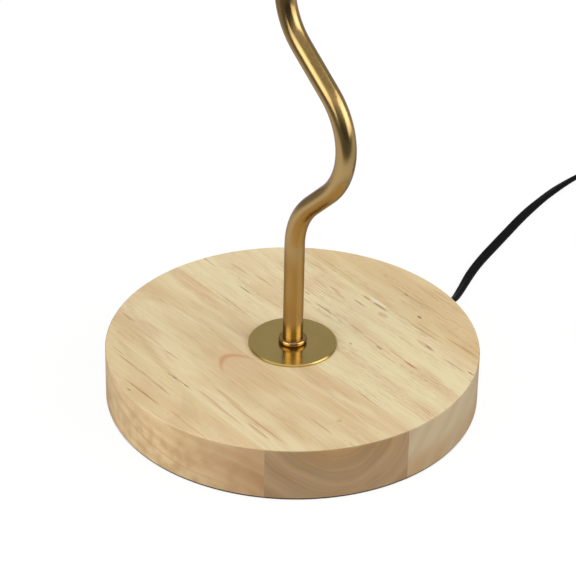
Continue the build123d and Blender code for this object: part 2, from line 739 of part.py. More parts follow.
def switch_screw_spots():
    """The two screws, at opposite corners."""
    return [(SWITCH_SCREW_X, SWITCH_SCREW_Y), (-SWITCH_SCREW_X, -SWITCH_SCREW_Y)]


def switch_base():
    """The lower half of the housing, with the rocker's ears and the screw ways."""
    shell = extrude(switch_outline(0), SWITCH_SPLIT)
    shell = fillet(shell.edges().group_by(Axis.Z)[0], SWITCH_EDGE / 2)
    room = Pos(0, 0, SWITCH_WALL) * extrude(switch_outline(SWITCH_WALL), SWITCH_SPLIT)
    room -= Pos(SWITCH_L / 2, 0, 0) * Box(2 * ENTRY_DEPTH, SWITCH_W, 4 * SWITCH_SPLIT)
    room -= Pos(-SWITCH_L / 2, 0, 0) * Box(2 * ENTRY_DEPTH, SWITCH_W, 4 * SWITCH_SPLIT)
    shell -= room
    for side in (-1, 1):
        y = side * (ROCKER_W / 2 + EAR_GAP + EAR_T / 2)
        ear = Pos(0, y, 0) * (Pos(0, 0, (ROCKER_PIVOT_Z + SWITCH_WALL) / 2)
                              * Box(EAR_L, EAR_T, ROCKER_PIVOT_Z - SWITCH_WALL))
        crown = Pos(0, y, ROCKER_PIVOT_Z) * Rot(90, 0, 0) * Pos(0, 0, -EAR_T / 2) * extrude(Circle(EAR_L / 2), EAR_T)
        eye = Pos(0, y, ROCKER_PIVOT_Z) * Rot(90, 0, 0) * Pos(0, 0, -EAR_T) * extrude(
            Circle(PIVOT_R + PIVOT_CLEAR), 2 * EAR_T)
        shell += ear + crown
        shell -= eye
    for x, y in switch_screw_spots():
        shell += Pos(x, y, 0) * disc(BOSS_R, SWITCH_WALL / 2, SWITCH_SPLIT) & extrude(switch_outline(0), SWITCH_SPLIT)
        shell -= Pos(x, y, 0) * disc(SWITCH_SCREW_R + 0.1, 0, SWITCH_SPLIT)
        shell -= Pos(x, y, 0) * disc(SWITCH_HEAD_R + 0.2, 0, SWITCH_HEAD_H + 0.4)
    shell -= flex_way(ENTRY_DEPTH + 2)
    return switch_place(shell)


def switch_cover():
    """The upper half of the housing, with the rocker's window."""
    height = SWITCH_H - SWITCH_SPLIT
    shell = Pos(0, 0, SWITCH_SPLIT) * extrude(switch_outline(0), height)
    shell = fillet(shell.edges().group_by(Axis.Z)[-1], SWITCH_EDGE)
    room = Pos(0, 0, SWITCH_SPLIT) * extrude(switch_outline(SWITCH_WALL), height - SWITCH_WALL)
    room -= Pos(SWITCH_L / 2, 0, SWITCH_H) * Box(2 * ENTRY_DEPTH, SWITCH_W, 4 * SWITCH_H)
    room -= Pos(-SWITCH_L / 2, 0, SWITCH_H) * Box(2 * ENTRY_DEPTH, SWITCH_W, 4 * SWITCH_H)
    shell -= room
    window_half = hypot(ROCKER_L / 2, ROCKER_TIP) + ROCKER_GAP
    shell -= Pos(0, 0, SWITCH_H) * Box(2 * window_half, ROCKER_W + 2 * ROCKER_GAP, 4 * SWITCH_WALL)
    for x, y in switch_screw_spots():
        shell += Pos(x, y, 0) * disc(BOSS_R, SWITCH_SPLIT, SWITCH_H - SWITCH_WALL / 2) & (
            Pos(0, 0, SWITCH_SPLIT) * extrude(switch_outline(SWITCH_WALL / 2), height - SWITCH_WALL / 2))
        shell -= Pos(x, y, 0) * disc(SWITCH_SCREW_R + 0.05, SWITCH_SPLIT, SWITCH_H - SWITCH_WALL - 1)
    shell -= flex_way(ENTRY_DEPTH + 2)
    return switch_place(shell)


def switch_rocker():
    """The rocker: two gentle slopes meeting at its crest, pivots at its sides, a nose below."""
    half = ROCKER_L / 2
    outline = make_face(Polyline((-half, -ROCKER_DROP * 0.35), (-half, ROCKER_TIP), (0, ROCKER_CREST - 1.2),
                                 (half, ROCKER_TIP), (half, -ROCKER_DROP * 0.35), (NOSE_R + 2, -ROCKER_DROP),
                                 (-NOSE_R - 2, -ROCKER_DROP), close=True))
    nose = Pos(0, -NOSE_DROP + NOSE_R) * Circle(NOSE_R) + Pos(0, -ROCKER_DROP / 2) * Rectangle(
        2 * NOSE_R, NOSE_DROP - NOSE_R)
    side_plane = Plane(origin=(0, ROCKER_W / 2, 0), x_dir=(1, 0, 0), z_dir=(0, -1, 0))
    body = side_plane * extrude(outline, ROCKER_W)
    body += Plane(origin=(0, ROCKER_W / 4, 0), x_dir=(1, 0, 0), z_dir=(0, -1, 0)) * extrude(nose, ROCKER_W / 2)
    pivot_l = ROCKER_W + 2 * (EAR_GAP + EAR_T)
    body += Rot(90, 0, 0) * Pos(0, 0, -pivot_l / 2) * extrude(Circle(PIVOT_R), pivot_l)
    return switch_place(Pos(0, 0, ROCKER_PIVOT_Z) * Rot(0, ROCKER_TILT, 0) * body)


def switch_terminals():
    """The two brass terminal blocks on the floor of the housing."""
    blocks = [Pos(side * TERMINAL_X, 0, SWITCH_WALL + TERMINAL_H / 2) * Box(TERMINAL_L, TERMINAL_W, TERMINAL_H)
              for side in (-1, 1)]
    return Compound(children=[switch_place(block).solid() for block in blocks])


def switch_terminal_screws():
    """The slotted screws on the terminal blocks."""
    top = SWITCH_WALL + TERMINAL_H
    screw = Pos(0, 0, top) * (extrude(Circle(2.4), 1.4) - Pos(0, 0, 1.4) * Box(6, 0.7, 1.2))
    screws = [Pos(side * TERMINAL_X, 0, 0) * screw for side in (-1, 1)]
    return Compound(children=[switch_place(item).solid() for item in screws])


def switch_contacts():
    """A leaf from each terminal: the sprung one under the rocker's nose, and the fixed one."""
    inner = TERMINAL_X - TERMINAL_L / 2
    leaf_z = SWITCH_WALL + 1.6
    long_leaf = Pos(-(inner - 5) / 2 - 2.5, 0, leaf_z) * Box(inner - 5 + 5, LEAF_W, LEAF_T)
    short_leaf = Pos(inner / 2 + 3.5, 0, SWITCH_WALL + LEAF_T / 2) * Box(inner - 7, LEAF_W, LEAF_T)
    return Compound(children=[switch_place(leaf).solid() for leaf in (long_leaf, short_leaf)])


def switch_screws():
    """The two screws that hold the housing together, driven from below."""
    head = disc(SWITCH_HEAD_R, 0.4, 0.4 + SWITCH_HEAD_H) - Box(8, 0.8, 1.8)
    screw = head + disc(SWITCH_SCREW_R, 0.4 + SWITCH_HEAD_H, SWITCH_H - SWITCH_WALL - 2)
    screws = [Pos(x, y, 0) * screw for x, y in switch_screw_spots()]
    return Compound(children=[switch_place(item).solid() for item in screws])


# Plug, built along local X with its pins ahead, then laid at the end of the tail

def plug_place(solid):
    """Lay the plug so that its taper starts where the flex ends."""
    end = coil_end()
    return Pos(end.X + PLUG_DX, end.Y + PLUG_DY, PLUG_T / 2) * Rot(0, 0, PLUG_DEG) * solid


def plug_body():
    """The moulded flat body with its grooved taper round the flex."""
    back = PLUG_TAPER
    front = back + PLUG_L
    outline = make_face(Polyline((back, -PLUG_BACK_W / 2), (back + PLUG_NECK_L, -PLUG_BACK_W / 2 - 1.5),
                                 (front - 9, -PLUG_W / 2), (front, -PLUG_FACE_W / 2), (front, PLUG_FACE_W / 2),
                                 (front - 9, PLUG_W / 2), (back + PLUG_NECK_L, PLUG_BACK_W / 2 + 1.5),
                                 (back, PLUG_BACK_W / 2), close=True))
    body = Pos(0, 0, -PLUG_T / 2) * extrude(outline, PLUG_T)
    body = fillet(body.edges().filter_by(Axis.Z).sort_by(Axis.X)[2:4], 6.0)
    body = fillet(body.faces().sort_by(Axis.Z)[-1].edges() + body.faces().sort_by(Axis.Z)[0].edges(), PLUG_ROUND)
    taper = turned([(0, 0), (PLUG_TAPER_R1, 0), (PLUG_TAPER_R0, back), (PLUG_TAPER_R0, back + 4), (0, back + 4)])
    for index in range(PLUG_GROOVES):
        mid = back * (index + 0.8) / PLUG_GROOVES
        groove_r = PLUG_TAPER_R1 + (PLUG_TAPER_R0 - PLUG_TAPER_R1) * mid / back
        taper -= ring(PLUG_TAPER_R0 + 1, groove_r - 0.5, mid - 0.8, mid + 0.8)
    body += Rot(0, 90, 0) * taper
    for side in (-1, 1):
        body -= Pos(front - PIN_SEAT, side * PIN_SPREAD / 2, 0) * Rot(0, 90, 0) * extrude(Circle(PIN_R), PIN_SEAT)
    return plug_place(body)


def plug_pins():
    """The two pins, sleeved over half their length, round-ended, seated in the body."""
    front = PLUG_TAPER + PLUG_L
    tip = front + PIN_L
    pin = turned([(0, front - PIN_SEAT), (PIN_R, front - PIN_SEAT), (PIN_R, front), (PIN_SLEEVE_R, front),
                  (PIN_SLEEVE_R, front + PIN_SLEEVE_L), (PIN_R, front + PIN_SLEEVE_L), (PIN_R, tip - 1.2),
                  (PIN_R - 1.0, tip - 0.2), (0, tip)])
    pins = [Pos(0, side * PIN_SPREAD / 2, 0) * Rot(0, 90, 0) * pin for side in (-1, 1)]
    return Compound(children=[plug_place(item).solid() for item in pins])


coil = coil_line()
print(f"coil: least gap between turns {least_self_gap(coil):.2f}")

nodes = {
    "base_disc": base_disc(),
    "base_pad": base_pad(),
    "cover_disc": cover_disc(),
    "stem_collar": collar(),
    "stem_tube": stem_tube(),
    "stem_washer": stem_washer(),
    "stem_lock_washer": lock_washer(),
    "stem_nut": stem_nut(),
    "cord_bushing": cord_bushing(),
    "cord_inner": inner_flex(),
    "holder_cap": holder_cap(),
    "holder_grub_screw": holder_grub_screw(),
    "holder_insert": holder_insert(),
    "holder_terminals": holder_terminals(),
    "holder_terminal_screws": holder_terminal_screws(),
    "holder_centre_contact": holder_centre_contact(),
    "holder_side_contact": holder_side_contact(),
    "holder_shell": holder_shell(),
    "shade_nut_lower": shade_nut(HOLDER_Z + HOLDER_CAP_H + SHADE_NUT_UP, True),
    "shade_nut_upper": shade_nut(fitter_z() + FITTER_T, False),
    "bulb_glass": bulb_glass(),
    "bulb_cap": bulb_cap(),
    "bulb_tip": bulb_tip(),
    "bulb_filament": bulb_filament(),
    "shade_cover": shade_cover(),
    "shade_trim_lower": shade_trim(False),
    "shade_trim_upper": shade_trim(True),
    "shade_hoop_lower": shade_ring(False),
    "shade_hoop_upper": shade_ring(True),
    "shade_fitter": shade_fitter(),
    "shade_arms": shade_arms(),
    "cord_run": swept_flex(run_line(), "run"),
    "switch_base": switch_base(),
    "switch_cover": switch_cover(),
    "switch_rocker": switch_rocker(),
    "switch_terminals": switch_terminals(),
    "switch_terminal_screws": switch_terminal_screws(),
    "switch_contacts": switch_contacts(),
    "switch_screws": switch_screws(),
    "cord_lead": swept_flex(lead_line(), "lead"),
    "cord_coil": swept_flex(coil, "coil"),
    "coil_tie": coil_tie(),
    "cord_tail": swept_flex(tail_line(), "tail"),
    "plug_body": plug_body(),
    "plug_pins": plug_pins(),
}

os.makedirs("parts", exist_ok=True)
for name, shape in nodes.items():
    shape.label = name
    export_step(shape, f"parts/{name}.step")
print(len(nodes), "nodes written")
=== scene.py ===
# Table lamp: round wooden base, bent brass stem, linen shade and a black two-core flex.
# Metres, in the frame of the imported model: +Z up, -Y towards the viewer of the photograph.
import json
from math import atan2, cos, degrees, hypot, pi, radians, sin

import bpy
from mathutils import Matrix, Vector


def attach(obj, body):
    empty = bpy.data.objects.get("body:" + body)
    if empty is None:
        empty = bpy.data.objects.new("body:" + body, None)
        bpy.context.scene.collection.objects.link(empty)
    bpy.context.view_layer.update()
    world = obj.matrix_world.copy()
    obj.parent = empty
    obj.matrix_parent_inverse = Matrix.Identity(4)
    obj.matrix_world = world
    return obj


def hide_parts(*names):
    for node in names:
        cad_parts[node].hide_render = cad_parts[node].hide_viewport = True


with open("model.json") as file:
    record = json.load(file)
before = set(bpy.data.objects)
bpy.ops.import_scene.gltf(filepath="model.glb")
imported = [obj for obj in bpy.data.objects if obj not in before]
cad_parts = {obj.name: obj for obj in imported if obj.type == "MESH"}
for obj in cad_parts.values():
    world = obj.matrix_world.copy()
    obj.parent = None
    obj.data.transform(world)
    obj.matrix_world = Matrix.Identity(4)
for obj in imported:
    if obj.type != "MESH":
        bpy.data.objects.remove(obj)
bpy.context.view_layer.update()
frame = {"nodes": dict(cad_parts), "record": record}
nodes = frame["nodes"]
mm = 0.001


# Camera, fitted to the outlines of the base and of the brass disc

viewpoint = {
    "place": (0.0, -1.08893, 0.73489),
    "right": (0.99977, 0.01323, 0.01716),
    "up": (-0.02155, 0.52671, 0.84977),
    "forward": (-0.0022, 0.84994, -0.52687),
    "lens": 164.19, "sensor": 36.0,     # mm
    "clip": (0.05, 20.0),               # metres
}


def placeCamera():
    data = bpy.data.cameras.new("photoCamera")
    data.lens = viewpoint["lens"]
    data.sensor_width = viewpoint["sensor"]
    data.clip_start, data.clip_end = viewpoint["clip"]
    camera = bpy.data.objects.new("photoCamera", data)
    bpy.context.collection.objects.link(camera)
    right, up = Vector(viewpoint["right"]), Vector(viewpoint["up"])
    back = -Vector(viewpoint["forward"])
    turn = Matrix((right, up, back)).transposed().to_4x4()
    camera.matrix_world = Matrix.Translation(viewpoint["place"]) @ turn
    bpy.context.scene.camera = camera
    print("camera placed")


placeCamera()


# Shared helpers

# hex of an sRGB colour to linear
def rgb(code):
    parts = [int(code[i:i + 2], 16) / 255 for i in (1, 3, 5)]
    return tuple(c / 12.92 if c <= 0.04045 else ((c + 0.055) / 1.055) ** 2.4 for c in parts) + (1.0,)


# A setting names an input or a property of the node. A node or a socket is linked to it, and a hex colour or
# a number is set on it.
def setNode(tree, node, settings):
    for key, value in settings.items():
        if isinstance(value, bpy.types.Node):
            value = next(output for output in value.outputs if output.enabled)
        elif isinstance(value, str) and value.startswith("#"):
            value = rgb(value)
        if isinstance(value, bpy.types.NodeSocket):
            tree.links.new(value, node.inputs[key])
        elif isinstance(key, int) or key in node.inputs:
            node.inputs[key].default_value = value
        else:
            setattr(node, key, value)
    return node


def addNode(tree, kind, settings=None):
    return setNode(tree, tree.nodes.new("ShaderNode" + kind), settings or {})


def newMaterial(name, settings):
    material = bpy.data.materials.new(name)
    material.use_nodes = True
    tree = material.node_tree
    tree.nodes.clear()
    shader = addNode(tree, "BsdfPrincipled", settings)
    addNode(tree, "OutputMaterial", {"Surface": shader})
    return material, tree, shader


# The share where all ramps overlap. A ramp names a field, where on it the share starts and ends, and its
# least and most if they aren't 0 and 1. A ramp with a name alone takes that field as a share.
def overlap(tree, fields, ramps):
    share = None
    for name, *ramp in ramps:
        level = fields[name]
        if ramp:
            ends = dict(zip(("From Min", "From Max", "To Min", "To Max"), ramp))
            level = addNode(tree, "MapRange", {"interpolation_type": "SMOOTHSTEP", "Value": level, **ends})
        if share is not None:
            level = addNode(tree, "Math", {"operation": "MULTIPLY", 0: share, 1: level})
        share = level
    return share


# a coat is a tone, as a hex or the name of a field, and the ramps that say where it goes
def layCoats(tree, fields, color, coats):
    for tone, *ramps in coats:
        share = overlap(tree, fields, ramps)
        color = addNode(tree, "Mix", {"data_type": "RGBA", 0: share, 6: color, 7: fields.get(tone, tone)})
    return color


# Black two-core flex. Points repeat the route of the part's source.

flex = {
    "width": 5.2,                                                   # mm
    "coreOffset": 1.2, "coreRadius": 1.4, "grooveDepth": 0.22,      # mm, which make it 2.8 thick
    "arcSteps": 9,                       # points round each core
    "fineness": 8,                       # mesh rings for each control point
    # millimetres: out of the bushing, down to the table, round to the switch
    "run": [(76.17, 68.59, 7.0), (80.63, 72.60, 6.8), (83.6, 79.0, 5.0), (87.4, 90.6, 2.9),
            (96.5, 118.3, 2.0), (113.0, 149.8, 1.8), (129.2, 180.3, 1.9), (148.4, 208.2, 2.1),
            (168.6, 228.8, 2.4), (190.0, 238.5, 2.7), (212.0, 235.0, 2.8), (226.0, 219.0, 3.6),
            (231.0, 195.0, 6.0), (231.0, 180.0, 6.0)],
    # share of the length, and the angle of the flat section above the table, in degrees
    "runTwist": [(0.0, 90), (0.015, 80), (0.06, 38), (0.10, 28), (0.17, 4), (0.28, -10), (0.40, -4),
                 (0.50, 18), (0.62, 44), (0.76, 88), (1.0, 90)],
    # from the switch to the coil, and from the coil to the plug
    "lead": [(231.0, 120.0, 6.0), (231.0, 105.0, 6.0), (232.0, 86.0, 4.2), (231.0, 66.0, 3.4)],
    "tail": [(159.5, 46.0, 9.3), (159.5, 62.0, 9.1), (164.1, 78.0, 7.0), (171.9, 93.2, 6.2),
             (174.5, 108.0, 6.85)],
    "upright": [(0.0, 90), (1.0, 90)],
    "coil": {"x": 231.0, "y": 46.0, "radius": 34.0, "step": 1.75, "low": 3.4, "high": 9.3, "halfTurns": 7,
             "pointsPerHalf": 8, "roundOut": 1.008},     # control points lie a little outside their curve
}


# the route's NURBS spline, read back as points close together
def routeLine(name, points):
    data = bpy.data.curves.new(name, "CURVE")
    data.dimensions = "3D"
    data.resolution_u = flex["fineness"]
    spline = data.splines.new("NURBS")
    spline.points.add(len(points) - 1)
    for place, point in zip(spline.points, points):
        place.co = (point[0] * mm, point[1] * mm, point[2] * mm, 1.0)
    spline.order_u = 3
    spline.use_endpoint_u = True
    curve = bpy.data.objects.new(name, data)
    bpy.context.collection.objects.link(curve)
    bpy.context.view_layer.update()
    line = bpy.data.meshes.new_from_object(curve.evaluated_get(bpy.context.evaluated_depsgraph_get()))
    path = [vertex.co.copy() for vertex in line.vertices]
    bpy.data.objects.remove(curve)
    bpy.data.curves.remove(data)
    bpy.data.meshes.remove(line)
    return path


# the section of two cores side by side, with a shallow groove between them
def sectionRim():
    offset, radius = flex["coreOffset"], flex["coreRadius"]
    rim = []
    for side in (1, -1):
        for step in range(flex["arcSteps"]):
            angle = side * pi / 2 - pi * step / (flex["arcSteps"] - 1)
            rim.append((side * offset + radius * cos(angle), radius * sin(angle)))
        rim.append((0.0, -side * (radius - flex["grooveDepth"])))
    return [(a * mm, b * mm) for a, b in rim]


# the angle of the flex's width above the table, at a share of its length
def twistAngle(twist, share):
    upper = next(i for i in range(1, len(twist)) if share <= twist[i][0] + 1e-9)
    (low, lowAngle), (high, highAngle) = twist[upper - 1], twist[upper]
    along = (share - low) / (high - low)
    return radians(lowAngle + (highAngle - lowAngle) * along * along * (3 - 2 * along))


# a mesh of the flat flex along a route
def flatFlex(name, points, twist):
    path = routeLine(name + "Route", points)
    lengths = [0.0]
    for before, after in zip(path, path[1:]):
        lengths.append(lengths[-1] + (after - before).length)
    rim = sectionRim()
    vertices = []
    for index, centre in enumerate(path):
        ahead = (path[min(index + 1, len(path) - 1)] - path[max(index - 1, 0)]).normalized()
        angle = twistAngle(twist, lengths[index] / lengths[-1])
        side = ahead.cross(Vector((0, 0, 1))).normalized()
        top = side.cross(ahead)
        across = side * cos(angle) + top * sin(angle)
        through = ahead.cross(across)
        vertices += [centre + across * a + through * b for a, b in rim]
    count = len(rim)
    faces = []
    for ring in range(len(path) - 1):
        for index in range(count):
            nextIndex = (index + 1) % count
            faces.append((ring * count + index, ring * count + nextIndex,
                          (ring + 1) * count + nextIndex, (ring + 1) * count + index))
    faces.append(tuple(range(count))[::-1])
    faces.append(tuple((len(path) - 1) * count + index for index in range(count)))
    mesh = bpy.data.meshes.new(name)
    mesh.from_pydata(vertices, [], faces)
    piece = bpy.data.objects.new(name, mesh)
    bpy.context.collection.objects.link(piece)
    bpy.ops.object.select_all(action="DESELECT")
    piece.select_set(True)
    bpy.context.view_layer.objects.active = piece
    bpy.ops.object.mode_set(mode="EDIT")
    bpy.ops.mesh.select_all(action="SELECT")
    bpy.ops.mesh.normals_make_consistent(inside=False)
    bpy.ops.object.mode_set(mode="OBJECT")
    bpy.ops.object.shade_smooth()
    return piece, path, lengths[-1]


# half turns in on the table, one that climbs, and half turns out on top
def coilRoute():
    coil = flex["coil"]
    points = []
    x, radius = coil["x"], coil["radius"]
    for half in range(2 * coil["halfTurns"] + 1):
        climbing = half == coil["halfTurns"]
        side = -1 if half % 2 == 0 else 1
        if half > coil["halfTurns"]:
            radius += coil["step"]
        middle = x + side * radius
        for step in range(coil["pointsPerHalf"]):
            share = step / coil["pointsPerHalf"]
            reach = side * radius * (coil["roundOut"] if 0 < step else 1.0)
            rise = share if climbing else (1.0 if half > coil["halfTurns"] else 0.0)
            points.append((middle - reach * cos(pi * share), coil["y"] + reach * sin(pi * share),
                           coil["low"] + (coil["high"] - coil["low"]) * rise))
        x += 2 * side * radius
        if half < coil["halfTurns"]:
            radius -= coil["step"]
    return points


def layFlex():
    run, runPath, runLength = flatFlex("lampFlex", flex["run"], flex["runTwist"])
    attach(run, "lamp")
    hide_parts("cord_run")
    route = flex["lead"] + coilRoute() + flex["tail"]
    lead, leadPath, leadLength = flatFlex("plugFlex", route, flex["upright"])
    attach(lead, "lamp")
    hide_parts("cord_lead", "cord_coil", "cord_tail")
    print(f"flex laid: {runLength:.3f} m to the switch, {leadLength:.3f} m from it to the plug")
    return run, lead


lampFlex, plugFlex = layFlex()


# Floor, light and background

studio = {
    "floorSize": 6.0,
    "floorColor": "#f4f4f2",
    # what the camera sees of the floor without any light on it: plain white far out, as the backdrop is, and
    # nothing under the base's edge, so its contact shadow stays
    "floorShown": [("direct",), ("away", 0.9, 1.7, 0.90, 1.0), ("away", 0.0918, 0.0926)],
    "floorLevel": 1.03,
    # painted reflection: the white table as brass shows it, between its front and left edges, painted into
    # the floor's glow
    "table": [("back", -0.34, -0.20), ("right", -0.38, -0.24, 0.35, 1.0),
              ("right", -0.15, 0.35, 1.0, 0.62),      # it darkens from left to right
              # painted shade: the glow dims towards the base, as if the base shaded it
              ("away", 0.09, 0.17, 0.50, 1.0)],       # and towards the base, which shades it
    "tableLevel": ("table", 0.0, 1.0, 0.05, 0.95),    # its level off and on the table
    # the room as brass shows it: behind and beside the lamp, before it from low to high, and where these meet
    "roomBehind": ("back", 0.25, 0.75, 0.30, 0.50),
    "roomBefore": ("up", 0.08, 0.85, 0.06, 1.0),
    "roomTurn": ("back", -0.35, 0.20),
    "fill": 0.55,
    # softboxes are brightest in the middle: size of that part as a share, and metres before the rest
    "core": (0.45, 0.02),
    "lamps": [
        # name, place, aimed at, size across and high, watts in all, share of them in the middle
        ("windowLeft", (-1.40, -1.10, 0.80), (0.0, 0.0, 0.1), (2.0, 1.25), 19.0, 0.14),
        ("softboxRight", (1.52, -0.50, 0.80), (0.0, 0.0, 0.15), (1.75, 1.45), 19.0, 0.14),
        ("softboxTop", (0.2, 0.5, 2.1), (0.0, 0.0, 0.1), (1.2, 0.9), 4.5, 0.0),
    ],
}


# gives 1 for what the camera, metal or glass looks at and 0 for light on a matt surface, and the same for the
# camera alone
def seenDirectly(tree):
    rays = addNode(tree, "LightPath").outputs
    byCamera = rays["Is Camera Ray"]
    either = addNode(tree, "Math", {"operation": "MAXIMUM", 0: byCamera, 1: rays["Is Glossy Ray"]})
    direct = addNode(tree, "Math", {"operation": "MAXIMUM", 0: either, 1: rays["Is Transmission Ray"]})
    return direct, byCamera


def layFloor():
    bpy.ops.object.select_all(action="DESELECT")
    bpy.ops.mesh.primitive_plane_add(size=studio["floorSize"], location=(0, 0, 0))
    floor = bpy.context.object
    floor.name = "studioFloor"
    material, tree, shader = newMaterial("matteWhitePaper", {"Base Color": studio["floorColor"],
                                                            "Roughness": 0.9, "Specular IOR Level": 0.1})
    direct, byCamera = seenDirectly(tree)
    place = addNode(tree, "TexCoord").outputs["Object"]
    right, back, _ = addNode(tree, "SeparateXYZ", {0: place}).outputs
    away = addNode(tree, "VectorMath", {"operation": "LENGTH", 0: place})
    fields = {"right": right, "back": back, "away": away, "direct": direct}
    fields["table"] = overlap(tree, fields, studio["table"])
    shown = overlap(tree, fields, [studio["tableLevel"]])
    level = addNode(tree, "Mix", {"data_type": "FLOAT", 0: byCamera, 2: shown, 3: studio["floorLevel"]})
    glow = addNode(tree, "Emission", {"Color": "#ffffff", "Strength": level})
    share = overlap(tree, fields, studio["floorShown"])
    mix = addNode(tree, "MixShader", {0: share, 1: shader, 2: glow})
    output = next(node for node in tree.nodes if node.type == "OUTPUT_MATERIAL")
    setNode(tree, output, {"Surface": mix})
    floor.data.materials.append(material)


def lightRoom():
    world = bpy.data.worlds.new("studio")
    bpy.context.scene.world = world
    world.use_nodes = True
    tree = world.node_tree
    tree.nodes.clear()
    place = addNode(tree, "TexCoord").outputs["Generated"]
    right, back, up = addNode(tree, "SeparateXYZ", {0: place}).outputs
    fields = {"back": back, "up": up}
    turn, before, behind = [overlap(tree, fields, [studio[name]])
                            for name in ("roomTurn", "roomBefore", "roomBehind")]
    room = addNode(tree, "Mix", {"data_type": "FLOAT", 0: turn, 2: before, 3: behind})
    direct, byCamera = seenDirectly(tree)
    level = addNode(tree, "Mix", {"data_type": "FLOAT", 0: byCamera, 2: room, 3: 1.0})
    shown = addNode(tree, "Background", {"Color": "#ffffff", "Strength": level})
    light = addNode(tree, "Background", {"Color": "#ffffff", "Strength": studio["fill"]})
    mix = addNode(tree, "MixShader", {0: direct, 1: light, 2: shown})
    addNode(tree, "OutputWorld", {"Surface": mix})


def hangLamps():
    coreSize, ahead = studio["core"]
    for name, place, aim, size, watts, coreShare in studio["lamps"]:
        towards = (Vector(aim) - Vector(place)).normalized()
        parts = [("Wide", 1.0, 1.0 - coreShare, 0.0), ("Core", coreSize, coreShare, ahead)]
        for part, scale, share, step in parts:
            if share == 0.0:
                continue
            data = bpy.data.lights.new(name + part, "AREA")
            data.shape = "RECTANGLE"
            data.size, data.size_y = size[0] * scale, size[1] * scale
            data.energy = watts * share
            lamp = bpy.data.objects.new(name + part, data)
            bpy.context.collection.objects.link(lamp)
            lamp.location = Vector(place) + towards * step
            lamp.rotation_euler = towards.to_track_quat("-Z", "Y").to_euler()


layFloor()
lightRoom()
hangLamps()
bpy.context.scene.view_settings.view_transform = "Standard"
print("studio built")


# Wood of the base

